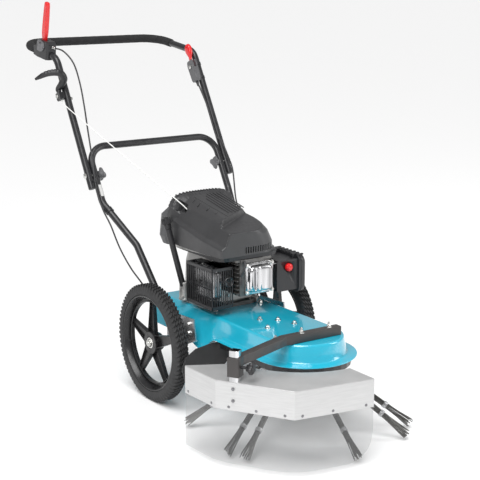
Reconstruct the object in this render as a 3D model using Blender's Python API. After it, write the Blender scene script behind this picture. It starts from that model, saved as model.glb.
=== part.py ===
"""Walk-behind weed brush: a belt-driven wire-rope rotor under a pressed deck, with a petrol engine.

Frame: +Z up, the ground at z = 0, the wheel axle along X at y = 0, the front of the machine at -Y,
the operator's right at -X. Metres throughout.
"""
from math import asin, atan2, cos, hypot, pi, radians, sin, sqrt, tan

import bmesh
import bpy
from mathutils import Matrix, Vector

GAP = 0.0003                 # left between pieces that touch
FRAME_ORIGIN = Vector((-0.0444, 0.0173, 0.0))

# Wheels and axle
WHEEL_R = 0.178              # 14 inch wheel
WHEEL_OUT = 0.252            # outer face of the tyre, from the centre plane
TYRE_W = 0.041
RIM_R = 0.1465
AXLE_R = 0.008
HUB_R = 0.034
SPOKES = 5
WHEEL_SIDES = 32

# Deck pressing
DECK_TOP = 0.2785
DECK_T = 0.003
DECK_HALF = 0.113
DECK_REAR = 0.150
NOSE_Y = -0.440              # centre of the half-round nose
FLANGE_Z = 0.2235
FLANGE_W = 0.036
TAIL_Z = 0.1765
TAIL_Y = -0.132
FADE_Y = -0.215              # where the flange starts to turn down into the side skirt
REAR_Z = 0.197

# Rotor
ROTOR_Y = -0.415
HUB_TOP = 0.2077
HUB_BOTTOM = 0.1786
BUNDLE_R = 0.0085
BAND_R = 0.0101
TIP_R = 0.324                # radius of the circle that the tips' centres sweep
TIP_Z = 0.0131
TIP_FLARE = 0.016
ROOT_R = 0.0785
ROOT_Z = 0.187
# Each bundle's angle at its root and at its tip, in degrees from -Y towards -X
BUNDLES = ((120, 120), (80, 73), (56, 63), (7, 7), (-31, -34), (-53, -50), (-126, -126), (172, 172))

# Drive
CRANK_Y = -0.010
BELT_Z = 0.248
CRANK_PULLEY_R = 0.030
ROTOR_PULLEY_R = 0.050
BELT_GAP = 0.0006
IDLER_R = 0.018
IDLER_PIVOT = (0.088, -0.290)
IDLER_AT = (0.0715, -0.200)

# Engine cover
COVER_LEFT = -0.127
COVER_TUCK = 0.003           # the left wall's lower edge, in from its crease
COVER_RIGHT = 0.104
COVER_FRONT = -0.203
COVER_REAR = 0.0795
COVER_CORNER_R = 0.090       # plan radius of the front right corner

# Engine fittings
DIP_FOOT = Vector((-0.1190, 0.012, 0.345))
DIP_TOP = Vector((-0.1450, 0.052, 0.520))
PRIMER = (0.130, -0.191, 0.398)

# Handle
TUBE_R = 0.011
TUBE_WALL = 0.0018
LEG_X = 0.235                # centre of the lower tube at the joint
JOINT_Y = 0.335
JOINT_Z = 0.637
LEAN = radians(29.5)         # lean of the handle behind the vertical at the joint
UPPER_X = LEG_X + 2 * TUBE_R + 0.0005
LEG_UP = 0.405               # joint to the upper bend
BACK = 0.248                 # upper bend to the grip bar
RISE = radians(7.5)
FOAM_R = 0.0145
FOAM_START_Y = 0.677         # where the foam begins on each side run
BEND_STEPS = 4

# Controls
LEVER_Y = 0.622              # the clutch lever's clamp along the side run
CLAMP_FRONT = -0.058
PIVOT_UP = 0.034
THROTTLE_UP = 0.335          # joint to the throttle, up the left leg
GUIDE_UP = 0.272             # joint to the rope guide, up the right leg
GUIDE_X = -UPPER_X - TUBE_R - GAP - 0.010

# Guard
GUARD_TOP = 0.240
GUARD_WALL = 0.077
SHEET = 0.002
GUARD_CORNERS = ((-0.363, -0.393), (-0.358, -0.534), (-0.243, -0.722), (-0.014, -0.760))
GUARD_ARC_R = 0.243
SKIRT_Z = 0.016
SKIRT_END_Z = 0.095
SKIRT_PIECE = 0.045          # length of the skirt's straight pieces
LAST_RUN_PIECES = 10         # the last run is finer because its lower edge is curved
POST_HALF = 0.0125
POST_T = 0.002
POST_ALONG = 0.050           # from the guard's second corner to the post
POST_IN = 0.0150             # from the guard's outer face to the post's centre
SLEEVE_HALF = 0.0165
SLEEVE_LOW = 0.2535
SLEEVE_HIGH = 0.305
ARM_Y = -0.498
ARM_END_X = 0.076
ARM_HALF = 0.0125
ARM_WALL = 0.002
KNEE = (-0.112, -0.495)


def lerp(a, b, t):
    return a + (b - a) * t


def clear_scene():
    for obj in list(bpy.data.objects):
        bpy.data.objects.remove(obj)


def material(name, colour, roughness, metallic=0.0):
    found = bpy.data.materials.get(name)
    if found:
        return found
    made = bpy.data.materials.new(name)
    made.use_nodes = True
    shader = made.node_tree.nodes["Principled BSDF"]
    shader.inputs["Base Color"].default_value = (*colour, 1.0)
    shader.inputs["Roughness"].default_value = roughness
    shader.inputs["Metallic"].default_value = metallic
    return made


def blue_paint():
    return material("blue_paint", (0.01, 0.42, 0.62), 0.25)


def black_paint():
    return material("black_paint", (0.045, 0.045, 0.05), 0.35)


def arm_paint():
    return material("arm_paint", (0.06, 0.055, 0.055), 0.4)


def steel():
    return material("steel", (0.62, 0.62, 0.63), 0.3, 1.0)


def chrome():
    return material("chrome", (0.8, 0.8, 0.82), 0.1, 1.0)


def stainless():
    return material("stainless", (0.72, 0.72, 0.73), 0.35, 1.0)


def aluminium():
    return material("aluminium", (0.5, 0.5, 0.52), 0.45, 1.0)


def shroud_plastic():
    return material("shroud_plastic", (0.05, 0.052, 0.055), 0.55)


def black_plastic():
    return material("black_plastic", (0.02, 0.02, 0.022), 0.4)


def red_plastic():
    return material("red_plastic", (0.75, 0.02, 0.02), 0.35)


def rubber():
    return material("rubber", (0.03, 0.03, 0.032), 0.8)


def clear_sheet():
    return material("clear_sheet", (0.85, 0.87, 0.88), 0.1)


def foam():
    return material("foam", (0.015, 0.015, 0.016), 0.9)


def rope_white():
    return material("rope_white", (0.8, 0.8, 0.78), 0.8)


def link(name, mesh, finish, smooth=True, origin=None):
    """An object for the mesh. origin is moved to the joint's axis without moving the shape."""
    obj = bpy.data.objects.new(name, mesh)
    bpy.context.scene.collection.objects.link(obj)
    mesh.materials.append(finish)
    if origin is not None:
        mesh.transform(Matrix.Translation(-Vector(origin)))
        obj.location = origin
    if smooth:
        mesh.shade_smooth()
        mesh.set_sharp_from_angle(angle=radians(35))
    return obj


def mesh_of(name, build):
    """A mesh filled in by build(bm), with its faces turned outwards."""
    mesh = bpy.data.meshes.new(name)
    bm = bmesh.new()
    build(bm)
    bmesh.ops.recalc_face_normals(bm, faces=bm.faces)
    bm.to_mesh(mesh)
    bm.free()
    return mesh


def rings_to_bm(bm, rings, closed=False, caps=True):
    """Joins rings of equal length with faces. A ring of one point is a pole."""
    made = [[bm.verts.new(p) for p in ring] for ring in rings]
    pairs = list(zip(made, made[1:]))
    if closed:
        pairs.append((made[-1], made[0]))
    for low, high in pairs:
        count = max(len(low), len(high))
        for i in range(count):
            j = (i + 1) % count
            corners = [low[i % len(low)], low[j % len(low)], high[j % len(high)], high[i % len(high)]]
            face = list(dict.fromkeys(corners))
            if len(face) > 2:
                bm.faces.new(face)
    if caps and not closed:
        for ring in (made[0], made[-1]):
            if len(ring) > 2:
                bm.faces.new(ring)


def lofted(name, rings, finish, closed=False, smooth=True, origin=None):
    mesh = mesh_of(name, lambda bm: rings_to_bm(bm, rings, closed))
    return link(name, mesh, finish, smooth, origin)


def axes_along(direction):
    """Two unit vectors square to a direction."""
    along = Vector(direction).normalized()
    helper = Vector((0, 0, 1)) if abs(along.z) < 0.9 else Vector((1, 0, 0))
    side = along.cross(helper).normalized()
    return side, along.cross(side).normalized()


def circle_points(centre, side, up, radius, count):
    centre = Vector(centre)
    if radius == 0:
        return [centre]
    turns = [2 * pi * i / count for i in range(count)]
    return [centre + side * (radius * cos(t)) + up * (radius * sin(t)) for t in turns]


def turned(name, profile, finish, centre, axis=(0, 0, 1), sides=24, closed=False, origin=None):
    """A solid of revolution from (distance along the axis, radius) pairs."""
    axis = Vector(axis).normalized()
    if abs(axis.x) > 0.9:
        side, up = Vector((0, 1, 0)), Vector((0, 0, 1))
    else:
        side, up = axes_along(axis)
    centre = Vector(centre)
    rings = [circle_points(centre + axis * d, side, up, r, sides) for d, r in profile]
    return lofted(name, rings, finish, closed, origin=origin)


def rounded_path(corners, radii, steps=4):
    """Points along straight runs joined by arcs of the given bend radii."""
    points = [Vector(corners[0])]
    for before, here, after, radius in zip(corners, corners[1:], corners[2:], radii):
        before, here, after = Vector(before), Vector(here), Vector(after)
        a, b = (before - here).normalized(), (after - here).normalized()
        half = a.angle(b) / 2
        reach = radius / tan(half)
        centre = here + (a + b).normalized() * (radius / sin(half))
        first, last = here + a * reach - centre, here + b * reach - centre
        turn = first.angle(last)
        for i in range(steps + 1):
            t = i / steps
            mix = (first * sin((1 - t) * turn) + last * sin(t * turn)) / sin(turn)
            points.append(centre + mix)
    points.append(Vector(corners[-1]))
    return points


def path_frames(points, up_hint):
    """A side and an up vector at each point, square to the path and free of twist."""
    frames = []
    up = Vector(up_hint)
    for i in range(len(points)):
        ahead = points[min(i + 1, len(points) - 1)]
        behind = points[max(i - 1, 0)]
        along = (ahead - behind).normalized()
        up = (up - along * up.dot(along)).normalized()
        frames.append((along.cross(up).normalized(), up.copy()))
    return frames


def tube_rings(points, radius, sides, up_hint):
    frames = path_frames(points, up_hint)
    return [circle_points(p, side, up, radius, sides) for p, (side, up) in zip(points, frames)]


def hollow_tube(name, points, radius, bore, finish, sides=8, up_hint=(1, 0, 0), origin=None):
    """A bent tube with a real wall, open at both ends."""
    outer = tube_rings(points, radius, sides, up_hint)
    inner = tube_rings(points, bore, sides, up_hint)
    return lofted(name, outer + inner[::-1], finish, closed=True, origin=origin)


def cord(name, points, radius, finish, resolution=2):
    """A cable along a smooth curve through the route's points."""
    curve = bpy.data.curves.new(name, "CURVE")
    curve.dimensions = "3D"
    curve.bevel_depth = radius
    curve.bevel_resolution = resolution
    curve.use_fill_caps = True
    spline = curve.splines.new("POLY")
    spline.points.add(len(points) - 1)
    for slot, point in zip(spline.points, points):
        slot.co = (*point, 1.0)
    curve.materials.append(finish)
    obj = bpy.data.objects.new(name, curve)
    bpy.context.scene.collection.objects.link(obj)
    return obj


def smooth_route(points, per_span):
    """Points on a Catmull-Rom curve through a cable's route."""
    ends = [2 * Vector(points[0]) - Vector(points[1])]
    ends += [Vector(p) for p in points] + [2 * Vector(points[-1]) - Vector(points[-2])]
    found = []
    for a, b, c, d in zip(ends, ends[1:], ends[2:], ends[3:]):
        for i in range(per_span):
            t = i / per_span
            found.append(0.5 * (2 * b + (c - a) * t + (2 * a - 5 * b + 4 * c - d) * t**2
                                + (3 * b - a - 3 * c + d) * t**3))
    return found + [Vector(points[-1])]


def rounded_rectangle(x0, x1, y0, y1, radius, steps=3):
    """Corner arcs of a rectangle in plan, anticlockwise from the corner at x1, y1."""
    points = []
    centres = ((x1 - radius, y1 - radius, 0), (x0 + radius, y1 - radius, 90),
               (x0 + radius, y0 + radius, 180), (x1 - radius, y0 + radius, 270))
    for cx, cy, start in centres:
        for i in range(steps + 1):
            t = radians(start + 90 * i / steps)
            points.append((cx + radius * cos(t), cy + radius * sin(t)))
    return points


def stacked(name, levels, finish, axis="z", steps=3, smooth=True, origin=None):
    """A body lofted through rounded rectangles (height, x0, x1, y0, y1, corner radius)."""
    place = {"z": lambda u, v, h: Vector((u, v, h)), "y": lambda u, v, h: Vector((u, h, v)),
             "x": lambda u, v, h: Vector((h, u, v))}[axis]
    rings = [[place(u, v, h) for u, v in rounded_rectangle(a, b, c, d, r, steps)]
             for h, a, b, c, d, r in levels]
    return lofted(name, rings, finish, smooth=smooth, origin=origin)


def block(name, low, high, finish, bevel=0.0, origin=None):
    """A box, with its edges bevelled."""
    low, high = Vector(low), Vector(high)

    def build(bm):
        bmesh.ops.create_cube(bm, size=1.0)
        bmesh.ops.scale(bm, vec=high - low, verts=bm.verts)
        bmesh.ops.translate(bm, vec=(low + high) / 2, verts=bm.verts)
        if bevel:
            bmesh.ops.bevel(bm, geom=bm.edges, offset=bevel, segments=1, affect="EDGES")

    return link(name, mesh_of(name, build), finish, smooth=False, origin=origin)


def prism(name, outline, low, high, finish, origin=None, smooth=False):
    """An outline in plan raised from one height to another."""
    rings = [[Vector((x, y, z)) for x, y in outline] for z in (low, high)]
    return lofted(name, rings, finish, smooth=smooth, origin=origin)


def as_helper(obj):
    obj.hide_render = True
    obj.display_type = "WIRE"
    return obj


def combine(obj, tool, operation):
    modifier = obj.modifiers.new(operation.lower(), "BOOLEAN")
    modifier.operation = operation
    modifier.solver = "EXACT"
    modifier.object = as_helper(tool)


def cut(obj, tool):
    combine(obj, tool, "DIFFERENCE")


def fuse(obj, tool):
    combine(obj, tool, "UNION")


def bore_tool(name, centre, axis, radius, half, sides=16):
    return turned(name, [(-half, 0), (-half, radius), (half, radius), (half, 0)], steel(), centre, axis, sides)


# Wheels

def wheel(side):
    """side is -1 for the operator's right and +1 for the left."""
    name = "right" if side < 0 else "left"
    centre = (0, 0, WHEEL_R)
    axis = (side, 0, 0)
    inner, outer = WHEEL_OUT - TYRE_W, WHEEL_OUT
    crown = 0.008
    tyre = [(inner, RIM_R + GAP), (inner - 0.001, RIM_R + 0.012), (inner + 0.004, WHEEL_R - crown),
            (inner + 0.012, WHEEL_R), (outer - 0.012, WHEEL_R), (outer - 0.004, WHEEL_R - crown),
            (outer + 0.0001, RIM_R + 0.012), (outer, RIM_R + GAP)]
    turned(name + "_tyre", tyre, rubber(), centre, axis, WHEEL_SIDES, closed=True, origin=centre)
    rim = [(inner - 0.006, AXLE_R + GAP), (inner - 0.006, HUB_R - 0.008), (inner + 0.012, HUB_R),
           (inner + 0.012, 0.130), (inner + 0.002, 0.134), (inner + 0.002, RIM_R), (outer - 0.002, RIM_R),
           (outer - 0.002, 0.138), (outer - 0.014, 0.133), (outer - 0.016, HUB_R), (outer - 0.010, HUB_R - 0.003),
           (outer - 0.010, AXLE_R + GAP)]
    disc = turned(name + "_rim", rim, black_plastic(), centre, axis, WHEEL_SIDES, closed=True, origin=centre)
    cut(disc, rim_windows(name + "_rim_windows", centre))


def rim_windows(name, centre):
    """Five openings between the spokes, as one cutter."""
    outer, inner, half_spoke = 0.1265, 0.047, 0.013

    def build(bm):
        for k in range(SPOKES):
            middle = 2 * pi * (k + 0.5) / SPOKES + pi / 2
            outline = []
            for radius, order in ((outer, (-1, -0.5, 0, 0.5, 1)), (inner, (1, 0, -1))):
                reach = pi / SPOKES - half_spoke / radius
                outline += [(radius * cos(middle + reach * s), radius * sin(middle + reach * s)) for s in order]
            rings = [[Vector((x, centre[1] + u, centre[2] + v)) for u, v in outline] for x in (-0.3, 0.3)]
            rings_to_bm(bm, rings)

    return link(name, mesh_of(name, build), steel(), smooth=False)


def axle():
    half = WHEEL_OUT - 0.004
    turned("axle", [(-half, 0), (-half, AXLE_R), (half, AXLE_R), (half, 0)], steel(), (0, 0, WHEEL_R),
           (1, 0, 0), 16)


def axle_plate(side):
    """The bracket that ties the axle and the handle's foot to the deck."""
    name = "right_axle_plate" if side < 0 else "left_axle_plate"
    outline = [(-0.135, 0.205), (-0.125, 0.268), (0.000, 0.262), (0.026, 0.225), (0.026, 0.165), (-0.026, 0.155)]
    inner = 0.1612
    rings = [[Vector((side * x, y, z)) for y, z in outline] for x in (inner, inner + 0.004)]
    plate = lofted(name, rings, steel(), smooth=False)
    foot = sorted((side * 0.1493, side * 0.1630))
    fuse(plate, block(name + "_foot", (foot[0], -0.120, 0.1965), (foot[1], 0.020, 0.2005), steel()))
    cut(plate, bore_tool(name + "_bore", (side * inner, 0, WHEEL_R), (1, 0, 0), AXLE_R + GAP, 0.02))


# Deck

def smoothstep(t):
    t = min(max(t, 0.0), 1.0)
    return t * t * (3 - 2 * t)


def deck_outline():
    """Plan points of the deck's top edge with their outward direction."""
    straight = (0.150, 0.080, 0.0, -0.050, -0.100, TAIL_Y, -0.160, -0.185, FADE_Y, -0.330)
    steps = 14
    points = [((-DECK_HALF, y), (-1.0, 0.0)) for y in straight]
    for i in range(steps + 1):
        t = pi + pi * i / steps
        points.append(((DECK_HALF * cos(t), NOSE_Y + DECK_HALF * sin(t)), (cos(t), sin(t))))
    return points + [((DECK_HALF, y), (1.0, 0.0)) for y in reversed(straight)]


def deck_ring(spread, height, rear):
    """A ring round the deck. spread and height give offset and z from the share turned down at y."""
    ring = []
    for (x, y), (nx, ny) in deck_outline():
        turned_down = smoothstep((y - FADE_Y) / (TAIL_Y - FADE_Y))
        lifted = smoothstep((y - TAIL_Y) / 0.08)
        out = spread(turned_down)
        back = rear if y > DECK_REAR - 0.001 else 0.0
        ring.append(Vector((x + nx * out, y + ny * out + back, height(turned_down, lifted))))
    return ring


def deck_bottom(down, lifted):
    return lerp(lerp(FLANGE_Z, TAIL_Z, down), REAR_Z, lifted)


def deck():
    """The pressing: flat top, flared sides that turn down towards the rear, and a flange round the nose."""
    t = DECK_T
    rings = [
        deck_ring(lambda d: -0.007, lambda d, u: DECK_TOP, -0.007),
        deck_ring(lambda d: -0.001, lambda d, u: DECK_TOP - 0.006, -0.001),
        deck_ring(lambda d: lerp(0.008, 0.034, d), lambda d, u: deck_bottom(d, u) + t + 0.002, 0.004),
        deck_ring(lambda d: FLANGE_W, lambda d, u: deck_bottom(d, u) + t, 0.004),
        deck_ring(lambda d: FLANGE_W, lambda d, u: deck_bottom(d, u), 0.004),
        deck_ring(lambda d: lerp(0.006, 0.031, d), lambda d, u: deck_bottom(d, u), 0.004 - t),
        deck_ring(lambda d: -0.001 - t, lambda d, u: DECK_TOP - 0.006 - t, -0.001 - t),
        deck_ring(lambda d: -0.007 - t, lambda d, u: DECK_TOP - t, -0.007 - t),
    ]
    plate = lofted("deck", rings, blue_paint())
    cut(plate, bore_tool("deck_crank_hole", (0, CRANK_Y, DECK_TOP), (0, 0, 1), 0.022, 0.01, 20))


def pan_outline(offset, rear):
    """The bottom cover's outline: straight sides and the half-round nose."""
    half = DECK_HALF + offset
    points = [(-half, rear)]
    points += [(half * cos(pi + pi * i / 14), NOSE_Y + half * sin(pi + pi * i / 14)) for i in range(15)]
    return points + [(half, rear)]


def bottom_cover():
    """The belt cover under the deck: a flat plate with a turned-down rim, open round the rotor."""
    top, low, t, rear, out = FLANGE_Z - GAP, 0.199, 0.003, -0.218, 0.020
    levels = ((out, top, rear), (out, low, rear), (out - t, low, rear - t), (out - t, top - t, rear - t))
    rings = [[Vector((x, y, z)) for x, y in pan_outline(offset, back)] for offset, z, back in levels]
    cover = lofted("bottom_cover", rings, black_paint())
    cut(cover, bore_tool("cover_rotor_hole", (0, ROTOR_Y, top), (0, 0, 1), 0.066, 0.02, 20))
    cut(cover, block("cover_drain_slot", (-0.020, -0.260, 0.215), (0.020, -0.235, 0.23), steel()))


def rear_flap():
    """The rubber flap behind the brush: half-round, with an arch for the wire bundles."""
    y, top = -0.199, 0.2130
    outer = [(-0.240, 0.105), (-0.252, 0.150), (-0.240, 0.184), (-0.205, 0.205), (-0.150, top)]
    arch_half, arch_top = 0.125, 0.180
    arch = [(arch_half * cos(pi * i / 8), 0.105 + (arch_top - 0.105) * sin(pi * i / 8)) for i in range(9)]
    outline = outer + [(-x, z) for x, z in reversed(outer)] + arch
    rings = [[Vector((u, y + d, v)) for u, v in outline] for d in (-0.0015, 0.0025)]
    lofted("rear_flap", rings, rubber(), smooth=False)


# Engine

def engine_block():
    """The casting: mounting flange, crankcase, fan plate and the finned cylinder in front."""
    levels = [(DECK_TOP + GAP, -0.100, 0.100, -0.108, 0.086, 0.05), (0.290, -0.100, 0.100, -0.108, 0.086, 0.05),
              (0.294, -0.082, 0.082, -0.090, 0.078, 0.03), (0.400, -0.078, 0.078, -0.086, 0.076, 0.03),
              (0.440, -0.070, 0.070, -0.080, 0.070, 0.03), (0.445, -0.116, 0.094, -0.196, 0.072, 0.03),
              (0.4577, -0.118, 0.096, -0.198, 0.074, 0.03)]
    case = stacked("engine_block", levels, aluminium())
    outline = finned_outline(-0.196, -0.080, 0.335, 0.436, 7, 0.022)
    rings = [[Vector((x, y, z)) for y, z in outline] for x in (-0.050, 0.056)]
    fuse(case, lofted("cylinder", rings, aluminium(), smooth=False))
    cut(case, bore_tool("crank_bore", (0, CRANK_Y, 0.36), (0, 0, 1), 0.0118, 0.1, 16))


def finned_outline(y_front, y_back, z_low, z_high, count, depth):
    """A comb outline: fins along the top and the bottom of the cylinder."""
    pitch = (y_back - y_front) / (2 * count - 1)
    top, low = [], []
    for k in range(2 * count - 1):
        deep = k % 2
        y0, y1 = y_front + k * pitch, y_front + (k + 1) * pitch
        z1, z0 = z_high - depth * deep, z_low + depth * deep
        top += [(y0, z1), (y1, z1)]
        low += [(y0, z0), (y1, z0)]
    return top + low[::-1]


def valve_cover():
    levels = [(-0.1963, -0.034, 0.068, 0.338, 0.432, 0.008), (-0.2003, -0.034, 0.068, 0.338, 0.432, 0.008),
              (-0.2010, -0.026, 0.060, 0.346, 0.425, 0.010), (-0.2140, -0.022, 0.056, 0.350, 0.422, 0.010),
              (-0.2170, -0.017, 0.051, 0.356, 0.417, 0.008)]
    stacked("valve_cover", levels, chrome(), axis="y")


def muffler():
    levels = [(-0.122, -0.160, -0.058, 0.330, 0.408, 0.012), (-0.116, -0.166, -0.052, 0.324, 0.414, 0.014),
              (-0.094, -0.166, -0.052, 0.324, 0.414, 0.014), (-0.088, -0.160, -0.058, 0.330, 0.408, 0.012)]
    box = stacked("muffler", levels, aluminium(), axis="x")
    fuse(box, turned("exhaust_stub", [(-0.100, 0), (-0.100, 0.011), (-0.0503, 0.011), (-0.0503, 0)], aluminium(),
                     (0, -0.138, 0.385), (1, 0, 0), 14))


def guard_plate_outline(right_front, right_rear, corner_y, inset):
    """The muffler guard in plan. It steps back beside the crankcase."""
    x0, y0, y1 = -0.136 + inset, -0.180 + inset, -0.040 - inset
    return [(x0, y0), (right_front, y0), (right_front, corner_y), (right_rear, corner_y), (right_rear, y1), (x0, y1)]


def muffler_guard():
    """A slatted cage round the muffler, open towards the cylinder."""
    x0, y0, z0, z1, t = -0.136, -0.180, 0.302, 0.426, 0.002
    cage = prism("muffler_guard", guard_plate_outline(-0.0622, -0.0822, -0.094, 0), z0, z1, black_paint())
    cut(cage, prism("guard_inside", guard_plate_outline(-0.052, -0.0722, -0.090, t), z0 + t, z1 - t, steel()))

    def slots(bm):
        for k in range(7):
            y = y0 + 0.014 + 0.0176 * k
            slab(bm, (x0 - 0.01, y, z0 + 0.016), (x0 + 0.01, y + 0.009, z1 - 0.014))
        for k in range(3):
            x = x0 + 0.012 + 0.020 * k
            slab(bm, (x, y0 - 0.01, z0 + 0.016), (x + 0.010, y0 + 0.01, z1 - 0.014))
        for k in range(4):
            y = y0 + 0.014 + 0.031 * k
            slab(bm, (x0 + 0.014, y, z1 - 0.01), (x0 + 0.034, y + 0.020, z1 + 0.01))

    cut(cage, link("guard_slots", mesh_of("guard_slots", slots), steel(), smooth=False))


def slab(bm, low, high):
    """A box added to a mesh."""
    low, high = Vector(low), Vector(high)
    made = bmesh.ops.create_cube(bm, size=1.0)["verts"]
    bmesh.ops.scale(bm, vec=high - low, verts=made)
    bmesh.ops.translate(bm, vec=(low + high) / 2, verts=made)


def panel_z(y):
    """The height of the cover's raised top panel, which falls towards the front."""
    return 0.590 + 0.19 * y


def step_y(x):
    """Where the raised panel ends and the lower nose begins."""
    return -0.112 + 0.55 * x


def cover_section(y, inset, floor):
    """The cover's outline across the machine, from the lower left round to the lower right."""
    crease = 0.518 + 0.1925 * y
    shoulder = 0.568 + 0.154 * y
    top = panel_z(y)
    back = y + 0.12
    bend_z = 0.516 + 0.366 * back
    outline = [(COVER_LEFT, crease), (COVER_LEFT + 0.012, crease + 0.013), (-0.100, shoulder),
               (-0.100 + (top - shoulder) / 0.65, top), (0.603 + 0.233 * back - top, top),
               (0.345 + 0.05 * back - 0.5 * bend_z, bend_z), (COVER_RIGHT, 0.482 + 0.1 * back)]
    drawn = [(x + inset if x < 0 else x - inset, z - inset) for x, z in outline]
    points = [(COVER_LEFT + COVER_TUCK + inset, floor)] + drawn + [(COVER_RIGHT - inset, floor)]
    return [Vector((x, y, z)) for x, z in points]


def cover_plan(right, z, inset):
    """The cover's outline in plan, with its large round corner at the front right."""
    rear = COVER_REAR - inset
    front = COVER_FRONT + inset
    points = [(COVER_LEFT + inset, rear - 0.022), (COVER_LEFT + inset, -0.100), (-0.117 + inset, -0.188),
              (-0.106 + inset, front)]
    radius = COVER_CORNER_R - inset
    for i in range(7):
        t = radians(15 * i)
        points.append((right - COVER_CORNER_R + radius * sin(t), COVER_FRONT + COVER_CORNER_R - radius * cos(t)))
    points += [(0.112 - inset, -0.050), (0.112 - inset, rear - 0.022), (0.085 - inset, rear),
               (-0.107 + inset, rear)]
    return [Vector((x, y, z)) for x, y in points]


def cover_body(name, inset):
    """The cover as one solid. inset draws every face in, for the space inside."""
    floor = 0.458 - (0.01 if inset else 0)
    stations = (COVER_REAR + 0.01, -0.100, COVER_FRONT - 0.01)
    body = lofted(name, [cover_section(y, inset, floor) for y in stations], shroud_plastic())
    widths = ((0.440, 0.104), (0.480, 0.104), (0.516, 0.087), (0.545, 0.059), (0.620, 0.059))
    plan = [cover_plan(right, z, inset) for z, right in widths]
    combine(body, lofted(name + "_plan", plan, steel(), smooth=False), "INTERSECT")
    rings = []
    for x in (-0.150, 0.150):
        edge = step_y(x) + inset
        far = -0.260
        rings.append([Vector((x, edge, nose_z(edge) - inset)), Vector((x, far, nose_z(far) - inset)),
                      Vector((x, far, 0.650)), Vector((x, edge, 0.650))])
    cut(body, lofted(name + "_nose", rings, steel(), smooth=False))
    return body


def nose_z(y):
    return 0.550 + 0.235 * (y + 0.11)


def cover_hoop():
    """The rim that stands over the rear of the cover."""
    middle, half, foot, height, power = -0.012, 0.1155, 0.500, 0.1045, 4.5
    arch = []
    for i in range(17):
        c, s = cos(pi * i / 16), sin(pi * i / 16)
        reach = (abs(c / half) ** power + abs(s / height) ** power) ** (-1 / power)
        arch.append((middle + reach * c, foot + reach * s))
    rings = [[Vector((x, y, z)) for x, z in arch] for y in (0.058, COVER_REAR)]
    return lofted("cover_hoop", rings, shroud_plastic(), smooth=False)


def engine_shroud():
    """The plastic cover over the engine, a thin shell that is open below."""
    cover = cover_body("engine_shroud", 0.0)
    fuse(cover, cover_hoop())
    cut(cover, cover_body("cover_inside", 0.003))
    cut(cover, block("rope_mouth", (-0.118, -0.002, 0.552), (-0.080, 0.050, 0.590), steel()))


def fuel_tank():
    """The tank behind the shroud, hollow, with a filler neck."""
    outer = [(0.446, -0.118, 0.100, 0.0813, 0.138, 0.020), (0.470, -0.124, 0.106, 0.0813, 0.148, 0.022),
             (0.535, -0.118, 0.100, 0.0813, 0.146, 0.022), (0.556, -0.100, 0.084, 0.0813, 0.132, 0.020)]
    tank = stacked("fuel_tank", outer, black_plastic())
    inner = [(0.449, -0.114, 0.096, 0.0850, 0.134, 0.018), (0.470, -0.121, 0.103, 0.0850, 0.145, 0.020),
             (0.535, -0.115, 0.097, 0.0850, 0.143, 0.020), (0.553, -0.098, 0.082, 0.0850, 0.129, 0.018)]
    cut(tank, stacked("tank_inside", inner, steel()))
    cut(tank, bore_tool("tank_neck_bore", (0.045, 0.108, 0.556), (0, 0, 1), 0.012, 0.02, 16))


def fuel_cap():
    centre = (0.045, 0.108, 0.0)
    profile = [(0.548, 0), (0.548, 0.0115), (0.5563, 0.0115), (0.5563, 0.019), (0.574, 0.019), (0.578, 0.016),
               (0.578, 0)]
    turned("fuel_cap", profile, black_plastic(), centre, (0, 0, 1), 20, origin=(0.045, 0.108, 0.5563))


def dipstick_tube():
    """The oil filler: a boss on the crankcase and the tube that leans up from it."""
    boss = turned("dipstick_tube", [(0.296, 0), (0.296, 0.017), (0.345, 0.015), (0.345, 0)], black_plastic(),
                  (-0.110, 0.012, 0), (0, 0, 1), 16)
    length = (DIP_TOP - DIP_FOOT).length
    tube = turned("filler_tube", [(-0.012, 0), (-0.012, 0.009), (length, 0.009), (length, 0)], black_plastic(),
                  DIP_FOOT, DIP_TOP - DIP_FOOT, 12)
    fuse(boss, tube)
    foot = block("filler_foot", (-0.115, 0.002, 0.300), (-0.0824, 0.022, 0.330), steel())
    fuse(boss, foot)
    cut(boss, turned("filler_bore", [(0.0, 0), (0.0, 0.0065), (length + 0.02, 0.0065), (length + 0.02, 0)],
                     steel(), DIP_FOOT, DIP_TOP - DIP_FOOT, 12))


def dipstick():
    axis = DIP_TOP - DIP_FOOT
    profile = [(-0.150, 0), (-0.150, 0.002), (-0.004, 0.002), (-0.004, 0.006), (GAP, 0.006), (GAP, 0.0145),
               (0.017, 0.0145), (0.021, 0.011), (0.021, 0)]
    turned("dipstick", profile, black_plastic(), DIP_TOP, axis, 16, origin=DIP_TOP)


def carburettor():
    levels = [(0.0563, -0.160, -0.112, 0.356, 0.404, 0.010), (0.062, -0.160, -0.112, 0.356, 0.404, 0.010),
              (0.064, -0.170, -0.100, 0.340, 0.412, 0.012), (0.0877, -0.170, -0.100, 0.340, 0.412, 0.012)]
    stacked("carburettor", levels, aluminium(), axis="x")


def air_filter_base():
    levels = [(-0.191, 0.088, 0.165, 0.326, 0.421, 0.005), (-0.061, 0.088, 0.165, 0.326, 0.421, 0.005)]
    base = stacked("air_filter_base", levels, black_plastic(), axis="y", smooth=False)
    cut(base, bore_tool("primer_pocket", PRIMER, (0, 1, 0), 0.0128, 0.012, 20))


def air_filter_cover():
    levels = [(0.1653, -0.197, -0.057, 0.314, 0.429, 0.018), (0.183, -0.197, -0.057, 0.314, 0.429, 0.020),
              (0.192, -0.191, -0.063, 0.320, 0.423, 0.020), (0.196, -0.181, -0.073, 0.330, 0.413, 0.018)]
    stacked("air_filter_cover", levels, black_plastic(), axis="x", steps=4)


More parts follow.
